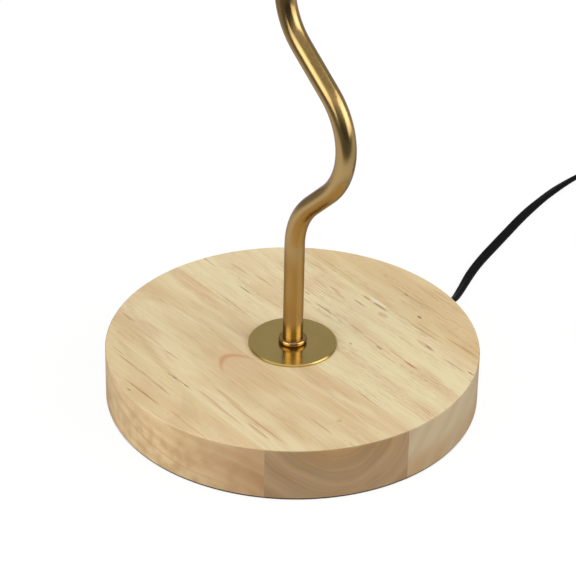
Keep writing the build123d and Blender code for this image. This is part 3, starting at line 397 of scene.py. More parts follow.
wood = {
    "grainTurn": 51.0,                    # degrees from the boards' length to +X
    "glueLines": (-67.0, -3.0, 59.0),     # mm across the boards
    "boardShift": (173.0, 0.0, 61.0),     # mm that the patterns move at each glue line, so none runs across
    # one entry for each board, from the front left to the back right
    "boards": {
        "number": (0.0, 1.0, 2.0, 3.0),
        "first": (1.0, 0.0, 0.0, 0.0), "second": (0.0, 1.0, 0.0, 0.0), "third": (0.0, 0.0, 1.0, 0.0),
        "cream": ("#e8d2a4", "#eddbb0", "#eddeb2", "#e6d1a2"),
        "tan": ("#e4ca9b", "#dfc292", "#e8d0a8", "#dec292"),
        "peach": ("#e0c093", "#debd90", "#e1c299", "#dec090"),
        "endGrain": ("#a58360", "#8e7352", "#aa987b", "#a5865a"),
        "endRing": ("#916d45", "#755a3b", "#a18e70", "#866741"),
        "pithAcross": (-92.0, -38.0, 96.0, 70.0),     # mm
        "pithUp": (-30.0, 50.0, -52.0, 70.0),         # mm above the table
        "pithDrop": (0.15, 0.12, -0.07, 0.08),        # mm down for each mm along
        "ringStep": (7.0, 6.0, 7.0, 6.0),             # mm between growth rings
        "ringDepth": (0.42, 0.34, 0.08, 0.34),        # how strongly they show on the rim
        "flecks": (0.30, 0.38, 0.70, 0.75),           # how thick the flecks stand
    },
    # each pattern: mm along, across and down the board, then detail
    "patterns": {
        "drift": ((110, 14, 14), 2.0), "warmth": ((46, 13, 16), 1.5), "wander": ((60, 24, 24), 1.0),
        "fibre": ((18, 0.42, 0.7), 4.0), "band": ((80, 3.0, 5.0), 2.0), "streak": ((30, 0.36, 1.6), 1.5),
        "pore": ((5.0, 0.24, 0.8), 0.5), "cluster": ((60, 8, 9), 1.0), "curl": ((7.0, 7.0, 8.0), 1.0),
    },
    "ringWander": 7.0,        # mm that the growth rings stray from circles
    "ringRun": 260.0,         # mm along the board before a ring's tone changes
    "ringCrowding": 9.0,      # how unevenly the late wood's lines follow each other, in radians
    "driftShare": 0.65,       # the rest of the tone comes from the rings
    # dark late wood on the rim is the stronger of its thin lines and its broad bands
    "lateLines": [("lateWood", 0.2, 1.0), ("cluster", 0.35, 0.6, 0.45, 1.0)],
    "lateBands": [("rings", 0.46, 0.66, 0.0, 0.5)],
    # streaks and pores stand in clusters, on top only
    "fleckArea": [("cluster", 0.40, 0.62, 0.10, 1.0), ("flecks",), ("upright", 0.3, 0.8)],
    # the end grain's tones: browner low on the third board, a brown patch high on the second, and rings
    "endCoats": [
        ("#9d794e", ("up", 17.0, 6.0, 0.0, 0.8), ("third",)),
        ("#96723f", ("up", 15.0, 24.0, 0.0, 0.75), ("second",), ("across", -60.0, -48.0),
         ("across", -6.0, -16.0)),
        ("endRing", ("rings", 0.40, 0.64), ("wander", 0.3, 0.6, 0.5, 1.0)),
    ],
    "coats": [
        ("tan", ("tone", 0.42, 0.66, 0.0, 0.8)),
        ("peach", ("warmth", 0.50, 0.68, 0.0, 0.55)),
        ("#c49a66", ("fibre", 0.48, 0.72, 0.0, 0.38)),
        # the rim is darker than the top: partly its sawn face, partly painted shade where less light falls on
        # the sides
        ("#b8976c", ("upright", 0.8, 0.3, 0.0, 0.4)),
        # curly figure on the first board's rim
        ("#9c7344", ("curl", 0.36, 0.74, 0.0, 0.45), ("upright", 0.8, 0.3), ("first",),
         ("up", 30.0, 12.0, 0.35, 1.0)),
        # end grain drinks more oil, so the rim darkens where it crosses the boards
        ("endTone", ("endwise", 0.10, 0.80, 0.0, 0.9)),
        ("#b38a5c", ("lateRim",), ("ringDepth",), ("upright", 0.3, 0.8, 1.0, 0.35)),
        # reddish bands and streaks, and short dark pores among them
        ("#b87440", ("band", 0.54, 0.74, 0.0, 0.24), ("flecked",)),
        ("#b87440", ("streak", 0.58, 0.67, 0.0, 0.80), ("flecked",)),
        ("#8c6036", ("pore", 0.64, 0.72, 0.0, 0.70), ("flecked",)),
    ],
    "wobble": 3.0,            # mm, how far single marks and the arch bend with the grain
    "markSoft": 0.45,         # share of a mark's half width before it fades
    "markBoost": 1.25,        # makes up for the fibres that break the marks
    "markBreaks": [("upright", 0.3, 0.8), ("fibre", 0.38, 0.56, 0.30, 1.0)],
    # single marks: from and to in mm to the right and back, half width, colour, strength
    "marks": [
        # golden growth lines and small checks on the left
        (-88, -9, -66, -39, 0.8, "#b98a50", 0.62), (-72, -32, -56, -50, 0.7, "#bb8a54", 0.52),
        (-82, -32, -61, -60, 0.8, "#b58048", 0.64), (-88, -4, -83, -17, 0.7, "#c39760", 0.45),
        (-87, 26, -78, 14, 1.1, "#b8845c", 0.55), (-81, 15, -62, -8, 0.5, "#b08c60", 0.50),
        (-64, -7, -54, -20, 0.7, "#b58862", 0.58), (-64, -26, -46, -46, 0.5, "#9c8258", 0.52),
        (-58, -32, -56, -35, 0.6, "#75726a", 0.60), (-53, -39, -50, -42, 0.6, "#5c564c", 0.70),
        (-79, -42, -77, -46, 0.6, "#94714a", 0.55),
        # rosy bands and streaks at the front
        (-48, -41, -30, -62, 1.5, "#c99a6c", 0.42), (-40, -37, -20, -63, 1.6, "#cc9f70", 0.42),
        (-42, -48, -20, -77, 0.9, "#c18a56", 0.48), (-32, -48, -2, -89, 0.9, "#bd7a44", 0.52),
        (-22, -67, -9, -86, 1.0, "#bf8450", 0.42), (-59, -58, -39, -84, 0.8, "#c69560", 0.46),
        (22, -65, 24, -68, 1.8, "#d69c50", 0.55), (8, -62, 20, -80, 0.6, "#a97c50", 0.48),
        (2, -20, 22, -48, 0.6, "#c2905e", 0.48), (30, -40, 44, -58, 0.6, "#b98a5c", 0.48),
        # rosy patches on the left
        (-91, 10, -74, -2, 4.0, "#d8b48c", 0.45), (-81, 21, -63, -1, 5.0, "#dab48c", 0.45),
        (-64, 63, -39, 40, 6.0, "#dcb48a", 0.40), (-52, 48, -33, 26, 4.5, "#d6ac84", 0.40),
        # dark lines behind the brass disc
        (-39, 46, -23, 25, 0.5, "#a57c54", 0.58), (-30, 53, -20, 44, 0.5, "#8c6a44", 0.58),
        (-22, 65, -8, 50, 0.8, "#ba8a58", 0.50), (-34, 76, -22, 63, 1.2, "#c3966a", 0.48),
        (5.5, 49, 9, 45, 0.5, "#7e6248", 0.62), (10, 39, 22, 26, 0.5, "#7f6c42", 0.62),
        # fine lines on the right, in a swarm round a pale band
        (17, 55, 25, 45.5, 0.7, "#b57a4e", 0.58), (20, 50, 27, 41, 0.5, "#9c6a40", 0.55),
        (29, 42, 38, 34, 0.6, "#a57a50", 0.58), (34, 46.5, 39.5, 39.5, 0.5, "#a3603c", 0.62),
        (36, 45, 50, 33, 2.2, "#efe4cc", 0.55), (39.5, 40.5, 47, 29.5, 0.8, "#a9703e", 0.60),
        (42, 31, 48, 24, 1.9, "#c69c76", 0.55), (49, 34, 62, 17, 0.7, "#a9763e", 0.55),
        (56.5, 22.6, 73, 3, 0.7, "#a97a44", 0.55), (60, 24, 76, 5, 0.5, "#a5743e", 0.55),
        (50, 27, 66, 8, 0.5, "#b58450", 0.50), (56, 49, 58.5, 46, 0.6, "#7c6238", 0.55),
        (62.5, 28, 65, 25, 0.9, "#5a4a2c", 0.72), (26.5, 20, 38, 8, 1.0, "#bd9258", 0.50),
        (41, 0, 45, -5, 0.5, "#6e4c2e", 0.72), (28, 1.5, 29.5, -0.5, 0.6, "#6e5a40", 0.60),
        (60, 6.5, 72, -6.5, 1.5, "#b98866", 0.52), (65, 1.5, 70, -4.8, 0.7, "#5e3420", 0.80),
        (54, -12, 62.5, -22, 0.6, "#b5623c", 0.68), (48, -3, 56, -14, 0.4, "#bf8a5c", 0.45),
        (76, 13, 91, -15, 0.8, "#a97440", 0.54), (72, -10, 87.5, -25, 0.6, "#9a683a", 0.54),
        (85, -21.5, 89, -26, 0.6, "#96502c", 0.60), (44, 64, 70, 32, 0.5, "#b57f4c", 0.48),
        (62, 45, 80, 20, 0.5, "#ad7c48", 0.45), (7, 63, 19, 51.5, 0.5, "#93703f", 0.54),
    ],
    # an arch where the saw cut just over a ring: its tip in mm along and across, and how fast it narrows
    "archTip": (-9.9, -33.7), "archNarrows": 0.11,
    # the tone inside it and its line, both fading along the board
    "archCoats": [
        ("#dcb88f", ("inside", -0.5, 2.5, 0.0, 0.55), ("behind", 15.0, 0.0), ("upright", 0.3, 0.8)),
        ("#c58452", ("offLine", 3.2, 0.0, 0.0, 0.60), ("behind", 15.0, 0.0), ("upright", 0.3, 0.8)),
    ],
    "relief": 0.10,           # strength of the fibres' bump, on a height of 0.2 mm
}


# a number or a colour that changes at each glue line
def perBoard(tree, glue, values):
    kind, before, after = ("RGBA", 6, 7) if isinstance(values[0], str) else ("FLOAT", 2, 3)
    chosen = values[0]
    for line, value in zip(glue, values[1:]):
        chosen = addNode(tree, "Mix", {"data_type": kind, 0: line, before: chosen, after: value})
    return chosen


# places in mm along, across and above the boards, what differs from board to board, and the noise patterns
def boardFields(tree, turn):
    place = addNode(tree, "TexCoord").outputs
    boards = addNode(tree, "Mapping", {"Vector": place["Object"], "Rotation": (0, 0, turn),
                                       "Scale": (1 / mm, 1 / mm, 1 / mm)})
    along, across, up = addNode(tree, "SeparateXYZ", {0: boards}).outputs
    glue = [addNode(tree, "Math", {"operation": "GREATER_THAN", 0: across, 1: line})
            for line in wood["glueLines"]]
    fields = {name: perBoard(tree, glue, values) for name, values in wood["boards"].items()}
    fields.update(boards=boards, along=along, across=across, up=up)
    fields["upright"] = addNode(tree, "SeparateXYZ", {0: place["Normal"]}).outputs["Z"]
    facing = addNode(tree, "VectorMath", {"operation": "DOT_PRODUCT", 0: place["Normal"],
                                          1: (cos(-turn), sin(-turn), 0.0)})
    fields["endwise"] = addNode(tree, "Math", {"operation": "ABSOLUTE", 0: facing})
    local = addNode(tree, "VectorMath", {"operation": "MULTIPLY_ADD", 0: fields["number"],
                                         1: wood["boardShift"], 2: boards})
    for name, (size, detail) in wood["patterns"].items():
        fit = addNode(tree, "Mapping", {"Vector": local, "Scale": tuple(1 / side for side in size)})
        fields[name] = addNode(tree, "TexNoise", {"Vector": fit, "Scale": 1.0, "Detail": detail,
                                                  "Roughness": 0.55})
    return fields


# growth rings round a pith that lies off each board: arcs on the rim, long lines on top
def addRings(tree, fields):
    side = addNode(tree, "Math", {"operation": "SUBTRACT", 0: fields["across"], 1: fields["pithAcross"]})
    depth = addNode(tree, "Math", {"operation": "SUBTRACT", 0: fields["up"], 1: fields["pithUp"]})
    depth = addNode(tree, "Math", {"operation": "MULTIPLY_ADD", 0: fields["along"], 1: fields["pithDrop"],
                                   2: depth})
    flatPlace = addNode(tree, "CombineXYZ", {"X": side, "Y": depth})
    radius = addNode(tree, "VectorMath", {"operation": "LENGTH", 0: flatPlace})
    radius = addNode(tree, "Math", {"operation": "MULTIPLY_ADD", 0: fields["wander"], 1: wood["ringWander"],
                                    2: radius})
    ringCount = addNode(tree, "Math", {"operation": "DIVIDE", 0: radius, 1: fields["ringStep"]})
    lengthwise = addNode(tree, "Math", {"operation": "DIVIDE", 0: fields["along"], 1: wood["ringRun"]})
    ringPlace = addNode(tree, "CombineXYZ", {"X": ringCount, "Y": lengthwise, "Z": fields["number"]})
    rings = addNode(tree, "TexNoise", {"Vector": ringPlace, "Scale": 1.0, "Detail": 2.0, "Roughness": 0.5})
    fields["rings"] = rings
    fields["tone"] = addNode(tree, "Mix", {"data_type": "FLOAT", 0: wood["driftShare"], 2: rings,
                                           3: fields["drift"]})
    phase = addNode(tree, "Math", {"operation": "MULTIPLY", 0: rings, 1: wood["ringCrowding"]})
    phase = addNode(tree, "Math", {"operation": "MULTIPLY_ADD", 0: ringCount, 1: 2 * pi, 2: phase})
    fields["lateWood"] = addNode(tree, "Math", {"operation": "SINE", 0: phase})
    lines = overlap(tree, fields, wood["lateLines"])
    bands = overlap(tree, fields, wood["lateBands"])
    fields["lateRim"] = addNode(tree, "Math", {"operation": "MAXIMUM", 0: lines, 1: bands})


# single marks along the grain, on top only
def layMarks(tree, fields, color, turn):
    sideways = addNode(tree, "CombineXYZ", {"Y": fields["wobble"]})
    wavy = addNode(tree, "VectorMath", {"operation": "ADD", 0: fields["boards"], 1: sideways})
    fields["unbroken"] = overlap(tree, fields, wood["markBreaks"])
    for startRight, startBack, endRight, endBack, halfWidth, tone, strength in wood["marks"]:
        right, back = (startRight + endRight) / 2, (startBack + endBack) / 2
        halfLength = hypot(endRight - startRight, endBack - startBack) / 2
        along = right * cos(turn) - back * sin(turn)
        across = right * sin(turn) + back * cos(turn)
        near = addNode(tree, "Mapping", {"Vector": wavy, "Scale": (1 / halfLength, 1 / halfWidth, 0),
                                         "Location": (-along / halfLength, -across / halfWidth, 0)})
        fields["far"] = addNode(tree, "VectorMath", {"operation": "LENGTH", 0: near})
        most = min(1.0, wood["markBoost"] * strength)
        coat = (tone, ("far", 1.0, wood["markSoft"], 0.0, most), ("unbroken",))
        color = layCoats(tree, fields, color, [coat])
    return color


def layArch(tree, fields, color):
    tipAlong, tipAcross = wood["archTip"]
    behind = addNode(tree, "Math", {"operation": "SUBTRACT", 0: fields["along"], 1: tipAlong})
    beside = addNode(tree, "Math", {"operation": "SUBTRACT", 0: fields["across"], 1: tipAcross})
    square = addNode(tree, "Math", {"operation": "MULTIPLY", 0: beside, 1: beside})
    inside = addNode(tree, "Math", {"operation": "MULTIPLY_ADD", 0: square, 1: -wood["archNarrows"],
                                    2: behind})
    inside = addNode(tree, "Math", {"operation": "ADD", 0: inside, 1: fields["wobble"]})
    offLine = addNode(tree, "Math", {"operation": "ABSOLUTE", 0: inside})
    fields.update(behind=behind, inside=inside, offLine=offLine)
    return layCoats(tree, fields, color, wood["archCoats"])


def rubberwood():
    # Rubberwood, planed, sanded and oiled: pale boards with sparse brown flecks, satin
    material, tree, shader = newMaterial("rubberwoodOiled", {"Roughness": 0.52, "IOR": 1.5,
                                                            "Specular IOR Level": 0.35})
    turn = radians(wood["grainTurn"])
    fields = boardFields(tree, turn)
    addRings(tree, fields)
    fields["endTone"] = layCoats(tree, fields, fields["endGrain"], wood["endCoats"])
    fields["flecked"] = overlap(tree, fields, wood["fleckArea"])
    fields["wobble"] = addNode(tree, "Math", {"operation": "MULTIPLY_ADD", 0: fields["wander"],
                                              1: wood["wobble"], 2: -wood["wobble"] / 2})
    color = layCoats(tree, fields, fields["cream"], wood["coats"])
    color = layMarks(tree, fields, color, turn)
    color = layArch(tree, fields, color)
    bump = addNode(tree, "Bump", {"Strength": wood["relief"], "Distance": 0.2 * mm,
                                  "Height": fields["fibre"]})
    setNode(tree, shader, {"Base Color": color, "Normal": bump})
    return material


# Brass that shows

brass = {
    "haze": 17.0,                 # mm across a cloud of the haze
    "hazeRange": (0.3, 0.7),      # the part of its noise that is used
    "hazeRough": (0.9, 1.1),      # it makes the polish this much finer and coarser
    # tones that the haze moves between, roughness, the lacquer's weight, and the tint near the outline, where
    # a dark tint is painted shade for the dark room that the edges reflect
    "tube": (("#a98a50", "#b19258"), 0.22, 0.80, "#7a5636"),
    "disc": (("#ba9f58", "#c0a65f"), 0.20, 0.35, "#ffffff"),
    # the bead's tones are a little darker than the tube's: painted shade, as it shows a bright sky
    "bead": (("#a48246", "#ae8c4e"), 0.12, 0.60, "#5a3c26"),
}


def satinBrass(name, tones, rough, lacquer, edgeShadeTint):
    # Brass, drawn or turned, satin polished and lacquered: long soft highlights, and painted shade near the
    # outline from a dark edge tint
    material, tree, shader = newMaterial(name, {"Metallic": 1.0, "Specular Tint": edgeShadeTint,
                                               "Coat Weight": lacquer, "Coat Roughness": 0.18})
    place = addNode(tree, "TexCoord").outputs["Object"]
    haze = addNode(tree, "TexNoise", {"Vector": place, "Scale": 1 / (brass["haze"] * mm), "Detail": 2.0})
    fields = {"haze": haze}
    color = layCoats(tree, fields, tones[0], [(tones[1], ("haze", *brass["hazeRange"]))])
    finer, coarser = [rough * factor for factor in brass["hazeRough"]]
    roughness = overlap(tree, fields, [("haze", *brass["hazeRange"], finer, coarser)])
    setNode(tree, shader, {"Base Color": color, "Roughness": roughness})
    return material


# Layered finishes

noise, cells = "TexNoise", "TexVoronoi"
layerBump = 0.6      # strength of every layer's height

# A layer is a texture, its size in mm, the part of its range that is used, the colour that it brings and how
# much of it, what it adds to the roughness, and its height in mm.
layerPlans = {
    # EVA foam, skived from sheet: dull, with fine open cells; real ones are 0.3 mm, too fine to show
    "pad_foam": ("evaFoamSheet", "#1d1b1a", 0.92, {"Specular IOR Level": 0.1}, [
        (cells, (0.7, 0.7, 0.7), (0.15, 0.6), "#100f0f", 0.8, 0.0, 0.10),
        (noise, (14, 14, 3), (0.35, 0.65), "#292624", 0.2, 0.0, 0.0)]),
    # Steel, stamped and zinc plated: cool grey, with a faint straw and blue haze and a fine crystal grain
    "zinc_steel": ("zincPlatedSteel", "#bfc2c6", 0.30, {"Metallic": 1.0}, [
        (noise, (5, 5, 5), (0.40, 0.64), "#c9c3ab", 0.45, 0.05, 0.0),
        (noise, (3, 3, 3), (0.50, 0.70), "#a9b1bf", 0.45, 0.0, 0.0),
        (noise, (0.35, 0.35, 0.35), (0.3, 0.7), "#9b9ea2", 0.35, 0.10, 0.006)]),
    # Rubber, moulded: dark, soft sheen, grey bloom where it is handled
    "black_rubber": ("mouldedRubber", "#111111", 0.70, {"Specular IOR Level": 0.12}, [
        (noise, (4, 4, 4), (0.45, 0.7), "#1c1c1b", 0.6, 0.10, 0.0),
        (noise, (0.4, 0.4, 0.4), (0.3, 0.7), "#0b0b0b", 0.4, 0.0, 0.02)]),
    # PBT, moulded in a spark-eroded tool: even fine pits that break the gloss; real pits are 0.1 mm
    "black_plastic": ("sparkTexturedPbt", "#131314", 0.46, {"Specular IOR Level": 0.22}, [
        (noise, (0.35, 0.35, 0.35), (0.35, 0.65), "#0b0b0c", 0.7, 0.12, 0.035),
        (noise, (11, 11, 11), (0.4, 0.7), "#181819", 0.6, 0.06, 0.0)]),
    # Steatite, pressed, glazed and fired: warm white, glossy, with a gentle ripple and a few iron specks
    "cream_ceramic": ("glazedSteatite", "#ece6d7", 0.16, {"Coat Weight": 0.6, "Coat Roughness": 0.05}, [
        (noise, (6, 6, 6), (0.35, 0.65), "#e2d9c4", 0.7, 0.05, 0.03),
        (cells, (1.9, 1.9, 1.9), (0.13, 0.05), "#a58e6a", 0.8, 0.0, 0.0)]),
    # Brass strip, rolled and stamped: yellow, with fine rolling lines and a dull tarnish in patches
    "contact_brass": ("rolledBrassStrip", "#d9bf75", 0.26, {"Metallic": 1.0}, [
        (noise, (7, 0.25, 0.25), (0.3, 0.7), "#c5a559", 0.6, 0.12, 0.006),
        (noise, (3.5, 3.5, 3.5), (0.5, 0.75), "#a98646", 0.5, 0.08, 0.0)]),
    # Brass, drawn or turned, nickel plated: warm silver, bright, with a soft haze
    "nickel_cap": ("nickelPlatedBrass", "#cbc7bf", 0.17, {"Metallic": 1.0}, [
        (noise, (5, 5, 5), (0.4, 0.7), "#b9b4ab", 0.6, 0.08, 0.0),
        (noise, (0.3, 0.3, 2.5), (0.3, 0.7), "#bdb9b1", 0.4, 0.05, 0.004)]),
    # Glass, blown and coated white inside: milky, glossy, a little uneven like all blown glass
    "opal_glass": ("opalCoatedGlass", "#f6f3ec", 0.10, {"IOR": 1.5, "Coat Weight": 0.8,
                                                       "Coat Roughness": 0.03}, [
        (noise, (16, 16, 22), (0.35, 0.65), "#efebe1", 0.7, 0.04, 0.03)]),
    # Phosphor in silicone, poured over the light strips: mustard yellow, dotted by the chips below it
    "led_strip": ("phosphorSilicone", "#efc04a", 0.42, {"IOR": 1.41}, [
        (cells, (1.1, 1.1, 1.1), (0.2, 0.6), "#d79c28", 0.7, 0.10, 0.05)]),
    # Steel wire, powder coated: white, satin, with the orange peel that melted powder leaves
    "white_wire": ("powderCoatedWire", "#eaeae7", 0.36, {"IOR": 1.5}, [
        (noise, (1.1, 1.1, 1.1), (0.35, 0.65), "#e0e0dc", 0.6, 0.08, 0.05),
        (noise, (18, 18, 18), (0.45, 0.7), "#dddcd6", 0.5, 0.0, 0.0)]),
    # PVC, extruded over the two cores: deep black, satin, with a light drag from the die
    "black_flex": ("extrudedPvc", "#060707", 0.50, {"Specular IOR Level": 0.08}, [
        (noise, (3.5, 3.5, 3.5), (0.4, 0.7), "#0a0b0b", 0.6, 0.08, 0.0),
        (noise, (0.7, 0.7, 0.7), (0.3, 0.7), "#050505", 0.4, 0.05, 0.005)]),
    # Nylon hook-and-loop: fuzzy loops that scatter light; real ones are 0.4 mm, drawn at 0.8
    "tie_nylon": ("hookAndLoopNylon", "#18181a", 0.95, {"Specular IOR Level": 0.15, "Sheen Weight": 0.12}, [
        (cells, (0.8, 0.8, 0.8), (0.1, 0.7), "#09090a", 0.8, 0.0, 0.22),
        (noise, (0.5, 0.5, 0.5), (0.3, 0.7), "#222224", 0.5, 0.0, 0.10)]),
}

# Polystyrene sheet, rolled with a matt skin: the white lining that the linen is glued to
styreneLining = ("styreneLining", "#f3f1eb", 0.50, {"Specular IOR Level": 0.35}, [
    (noise, (30, 30, 30), (0.4, 0.65), "#ebe8df", 0.6, 0.05, 0.0),
    (noise, (0.9, 0.9, 0.9), (0.3, 0.7), "#edebe4", 0.4, 0.0, 0.012)])


def layered(name, base, rough, settings, layers):
    material, tree, shader = newMaterial(name, {**settings, "Roughness": rough})
    place = addNode(tree, "TexCoord").outputs["Object"]
    color, roughness, relief = base, rough, {}
    for kind, size, reach, tone, share, roughStep, rise in layers:
        fit = addNode(tree, "Mapping", {"Vector": place, "Scale": tuple(1 / (side * mm) for side in size)})
        texture = addNode(tree, kind, {"Vector": fit, "Scale": 1.0})
        level = overlap(tree, {"texture": texture}, [("texture", *reach)])
        part = addNode(tree, "Math", {"operation": "MULTIPLY", 0: level, 1: share})
        color = addNode(tree, "Mix", {"data_type": "RGBA", 0: part, 6: color, 7: tone})
        if roughStep:
            roughness = addNode(tree, "Math", {"operation": "MULTIPLY_ADD", 0: level, 1: roughStep,
                                               2: roughness})
        if rise:
            bump = addNode(tree, "Bump", {"Strength": layerBump, "Distance": rise * mm, "Height": level,
                                          **relief})
            relief = {"Normal": bump}
    setNode(tree, shader, {"Base Color": color, "Roughness": roughness, **relief})
    return material


# Shade: laminated linen, cut to a ring's sector, rolled and lapped at the back

shade = {
    "low": 292.0, "height": 175.0, "lowRadius": 140.0, "topRadius": 92.0,   # mm
    "wall": 0.8,
    "around": 192,
    "tape": 8.6,                 # the tapes cover this much at both ends
    "lapAzimuth": 98.0,          # degrees from +X
    "lapWidth": 10.0, "lapProud": 0.35,
    "smoothBelow": 30,           # degrees between faces
    # linen: mm between threads, which is about twice the real, too fine to show, and its slubs round and up
    "thread": 1.1,
    "slubs": {"slubsRound": (34, 0.9, 1), "slubsUp": (0.9, 26, 1)},
    "linenTone": "#ddd3bf",
    "linenCoats": [
        ("#cdc0a8", ("weave", -0.9, 0.9, 0.0, 0.6)),
        ("#bfb096", ("slubsRound", 0.52, 0.72, 0.0, 0.55)),
        ("#e8e0cf", ("slubsUp", 0.54, 0.74, 0.0, 0.45)),
    ],
    # twill tape: ribs round a hoop, a whole number so that they meet, and mm between them up the tape
    "ribsAround": 600.0, "ribStep": 1.1,
    "wear": (220, 220, 900),     # patches of wear in a metre: 4.5 mm round and 1.1 mm up
    "tapeTone": "#d9cfbb",
    "tapeCoats": [
        ("#c0b299", ("ribs", -0.9, 0.9, 0.0, 0.7)),
        ("#e4dbca", ("worn", 0.45, 0.7, 0.0, 0.5)),
    ],
    "weaveRelief": 0.35, "ribRelief": 0.5,     # strength of the bumps, on a height of 0.2 mm
}


def twillTape():
    # Cotton twill tape, folded round the hoops: slanted ribs, a little darker than the linen
    material, tree, shader = newMaterial("cottonTwillTape", {"Roughness": 0.88, "Specular IOR Level": 0.2,
                                                            "Sheen Weight": 0.2, "Sheen Roughness": 0.5})
    place = addNode(tree, "TexCoord").outputs["Object"]
    right, back, up = addNode(tree, "SeparateXYZ", {0: place}).outputs
    turn = addNode(tree, "Math", {"operation": "ARCTAN2", 0: back, 1: right})
    climb = addNode(tree, "Math", {"operation": "MULTIPLY", 0: up, 1: 2 * pi / (shade["ribStep"] * mm)})
    slant = addNode(tree, "Math", {"operation": "MULTIPLY_ADD", 0: turn, 1: shade["ribsAround"], 2: climb})
    ribs = addNode(tree, "Math", {"operation": "SINE", 0: slant})
    fit = addNode(tree, "Mapping", {"Vector": place, "Scale": shade["wear"]})
    worn = addNode(tree, "TexNoise", {"Vector": fit, "Scale": 1.0, "Detail": 2.0})
    color = layCoats(tree, {"ribs": ribs, "worn": worn}, shade["tapeTone"], shade["tapeCoats"])
    bump = addNode(tree, "Bump", {"Strength": shade["ribRelief"], "Distance": 0.2 * mm, "Height": ribs})
    setNode(tree, shader, {"Base Color": color, "Normal": bump})
    return material


def laminatedLinen():
    # Plain-weave linen on a stiff backing: matt, with slubs both ways that show before the weave does
    material, tree, shader = newMaterial("laminatedLinen", {"Roughness": 0.85, "Specular IOR Level": 0.2,
                                                           "Sheen Weight": 0.15, "Sheen Roughness": 0.5})
    cloth = addNode(tree, "UVMap", {"uv_map": "cloth"})
    around, rising, _ = addNode(tree, "SeparateXYZ", {0: cloth}).outputs
    waves = []
    for axis in (around, rising):
        angle = addNode(tree, "Math", {"operation": "MULTIPLY", 0: axis, 1: 2 * pi / shade["thread"]})
        waves.append(addNode(tree, "Math", {"operation": "SINE", 0: angle}))
    weave = addNode(tree, "Math", {"operation": "MULTIPLY", 0: waves[0], 1: waves[1]})
    fields = {"weave": weave}
    for name, size in shade["slubs"].items():
        fit = addNode(tree, "Mapping", {"Vector": cloth, "Scale": tuple(1 / side for side in size)})
        fields[name] = addNode(tree, "TexNoise", {"Vector": fit, "Scale": 1.0, "Detail": 2.0})
    color = layCoats(tree, fields, shade["linenTone"], shade["linenCoats"])
    height = addNode(tree, "Math", {"operation": "MULTIPLY_ADD", 0: weave, 1: 0.5, 2: fields["slubsRound"]})
    bump = addNode(tree, "Bump", {"Strength": shade["weaveRelief"], "Distance": 0.2 * mm, "Height": height})
    setNode(tree, shader, {"Base Color": color, "Normal": bump})
    return material


def selectFaces(piece, wanted):
    bpy.ops.object.mode_set(mode="EDIT")
    bpy.ops.mesh.select_mode(type="FACE")
    bpy.ops.mesh.select_all(action="DESELECT")
    bpy.ops.object.mode_set(mode="OBJECT")
    for face in piece.data.polygons:
        face.select = wanted(face)
    bpy.ops.object.mode_set(mode="EDIT")


# the cloth's own map, in millimetres round and up, closed behind the lap
def mapCloth(piece, low, half):
    cloth = piece.data.uv_layers.get("cloth") or piece.data.uv_layers.new(name="cloth")
    middle = (shade["lowRadius"] + shade["topRadius"]) / 2
    lapEdge = radians(shade["lapAzimuth"] - half)
    for face in piece.data.polygons:
        start = (atan2(face.center.y, face.center.x) - lapEdge) % (2 * pi)
        for loop in face.loop_indices:
            point = piece.data.vertices[piece.data.loops[loop].vertex_index].co
            turn = (atan2(point.y, point.x) - lapEdge) % (2 * pi)
            if turn - start > pi:
                turn -= 2 * pi
            elif start - turn > pi:
                turn += 2 * pi
            cloth.data[loop].uv = (turn * middle, (point.z - low) / mm)
    for layer in [layer for layer in piece.data.uv_layers if layer.name != "cloth"]:
        piece.data.uv_layers.remove(layer)


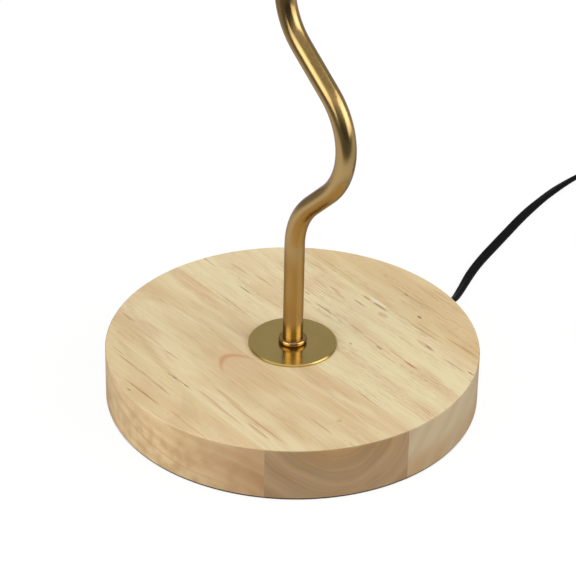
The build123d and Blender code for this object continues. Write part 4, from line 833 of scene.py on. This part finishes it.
def makeShade():
    low, high = shade["low"] * mm, (shade["low"] + shade["height"]) * mm
    bpy.ops.object.select_all(action="DESELECT")
    bpy.ops.mesh.primitive_cone_add(vertices=shade["around"], radius1=shade["lowRadius"] * mm,
                                    radius2=shade["topRadius"] * mm, depth=shade["height"] * mm,
                                    end_fill_type="NOTHING", location=(0, 0, (low + high) / 2))
    piece = bpy.context.object
    piece.name = piece.data.name = "shadeLinen"
    bpy.ops.object.transform_apply(location=True, rotation=True, scale=True)
    tape = shade["tape"] * mm
    for height in (low + tape, (low + high) / 2, high - tape):
        bpy.ops.object.mode_set(mode="EDIT")
        bpy.ops.mesh.select_all(action="SELECT")
        bpy.ops.mesh.bisect(plane_co=(0, 0, height), plane_no=(0, 0, 1))
        bpy.ops.object.mode_set(mode="OBJECT")
    half = degrees(shade["lapWidth"] / 2 / shade["lowRadius"])

    def onLap(face):
        turn = degrees(atan2(face.center.y, face.center.x)) - shade["lapAzimuth"]
        return abs(turn) < half and low + tape < face.center.z < high - tape

    selectFaces(piece, onLap)
    bpy.ops.mesh.extrude_region_shrink_fatten(TRANSFORM_OT_shrink_fatten={"value": shade["lapProud"] * mm})
    bpy.ops.object.mode_set(mode="OBJECT")
    mapCloth(piece, low, half)
    piece.data.materials.append(laminatedLinen())
    piece.data.materials.append(layered(*styreneLining))
    wall = piece.modifiers.new("wall", "SOLIDIFY")
    wall.thickness, wall.offset, wall.use_even_offset = shade["wall"] * mm, -1.0, True
    wall.material_offset = 1
    bpy.ops.object.modifier_apply(modifier="wall")
    bpy.ops.object.shade_smooth_by_angle(angle=radians(shade["smoothBelow"]))
    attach(piece, "lamp")
    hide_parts("shade_cover")
    return piece


shadeLinen = makeShade()


# Finishes on the nodes

finishes = {slot: layered(*plan) for slot, plan in layerPlans.items()}
finishes["oiled_wood"] = rubberwood()
finishes["satin_brass"] = satinBrass("satinBrassTube", *brass["tube"])
finishes["shade_linen"] = shadeLinen.data.materials[0]
finishes["shade_tape"] = twillTape()

# nodes whose finish differs from that of their slot
ownFinishes = {
    "cover_disc": satinBrass("satinBrassDisc", *brass["disc"]),
    # the bead is a darker copy of the tube's brass: painted shade
    "stem_collar": satinBrass("turnedBrassBead", *brass["bead"]),
}


def dressNodes():
    for item in frame["record"]["subparts"]:
        node = nodes[item["node"]]
        node.data.materials.clear()
        node.data.materials.append(ownFinishes.get(item["node"]) or finishes[item["material_slot"]])
    for piece in (lampFlex, plugFlex):
        piece.data.materials.append(finishes["black_flex"])
    print("materials set")


dressNodes()
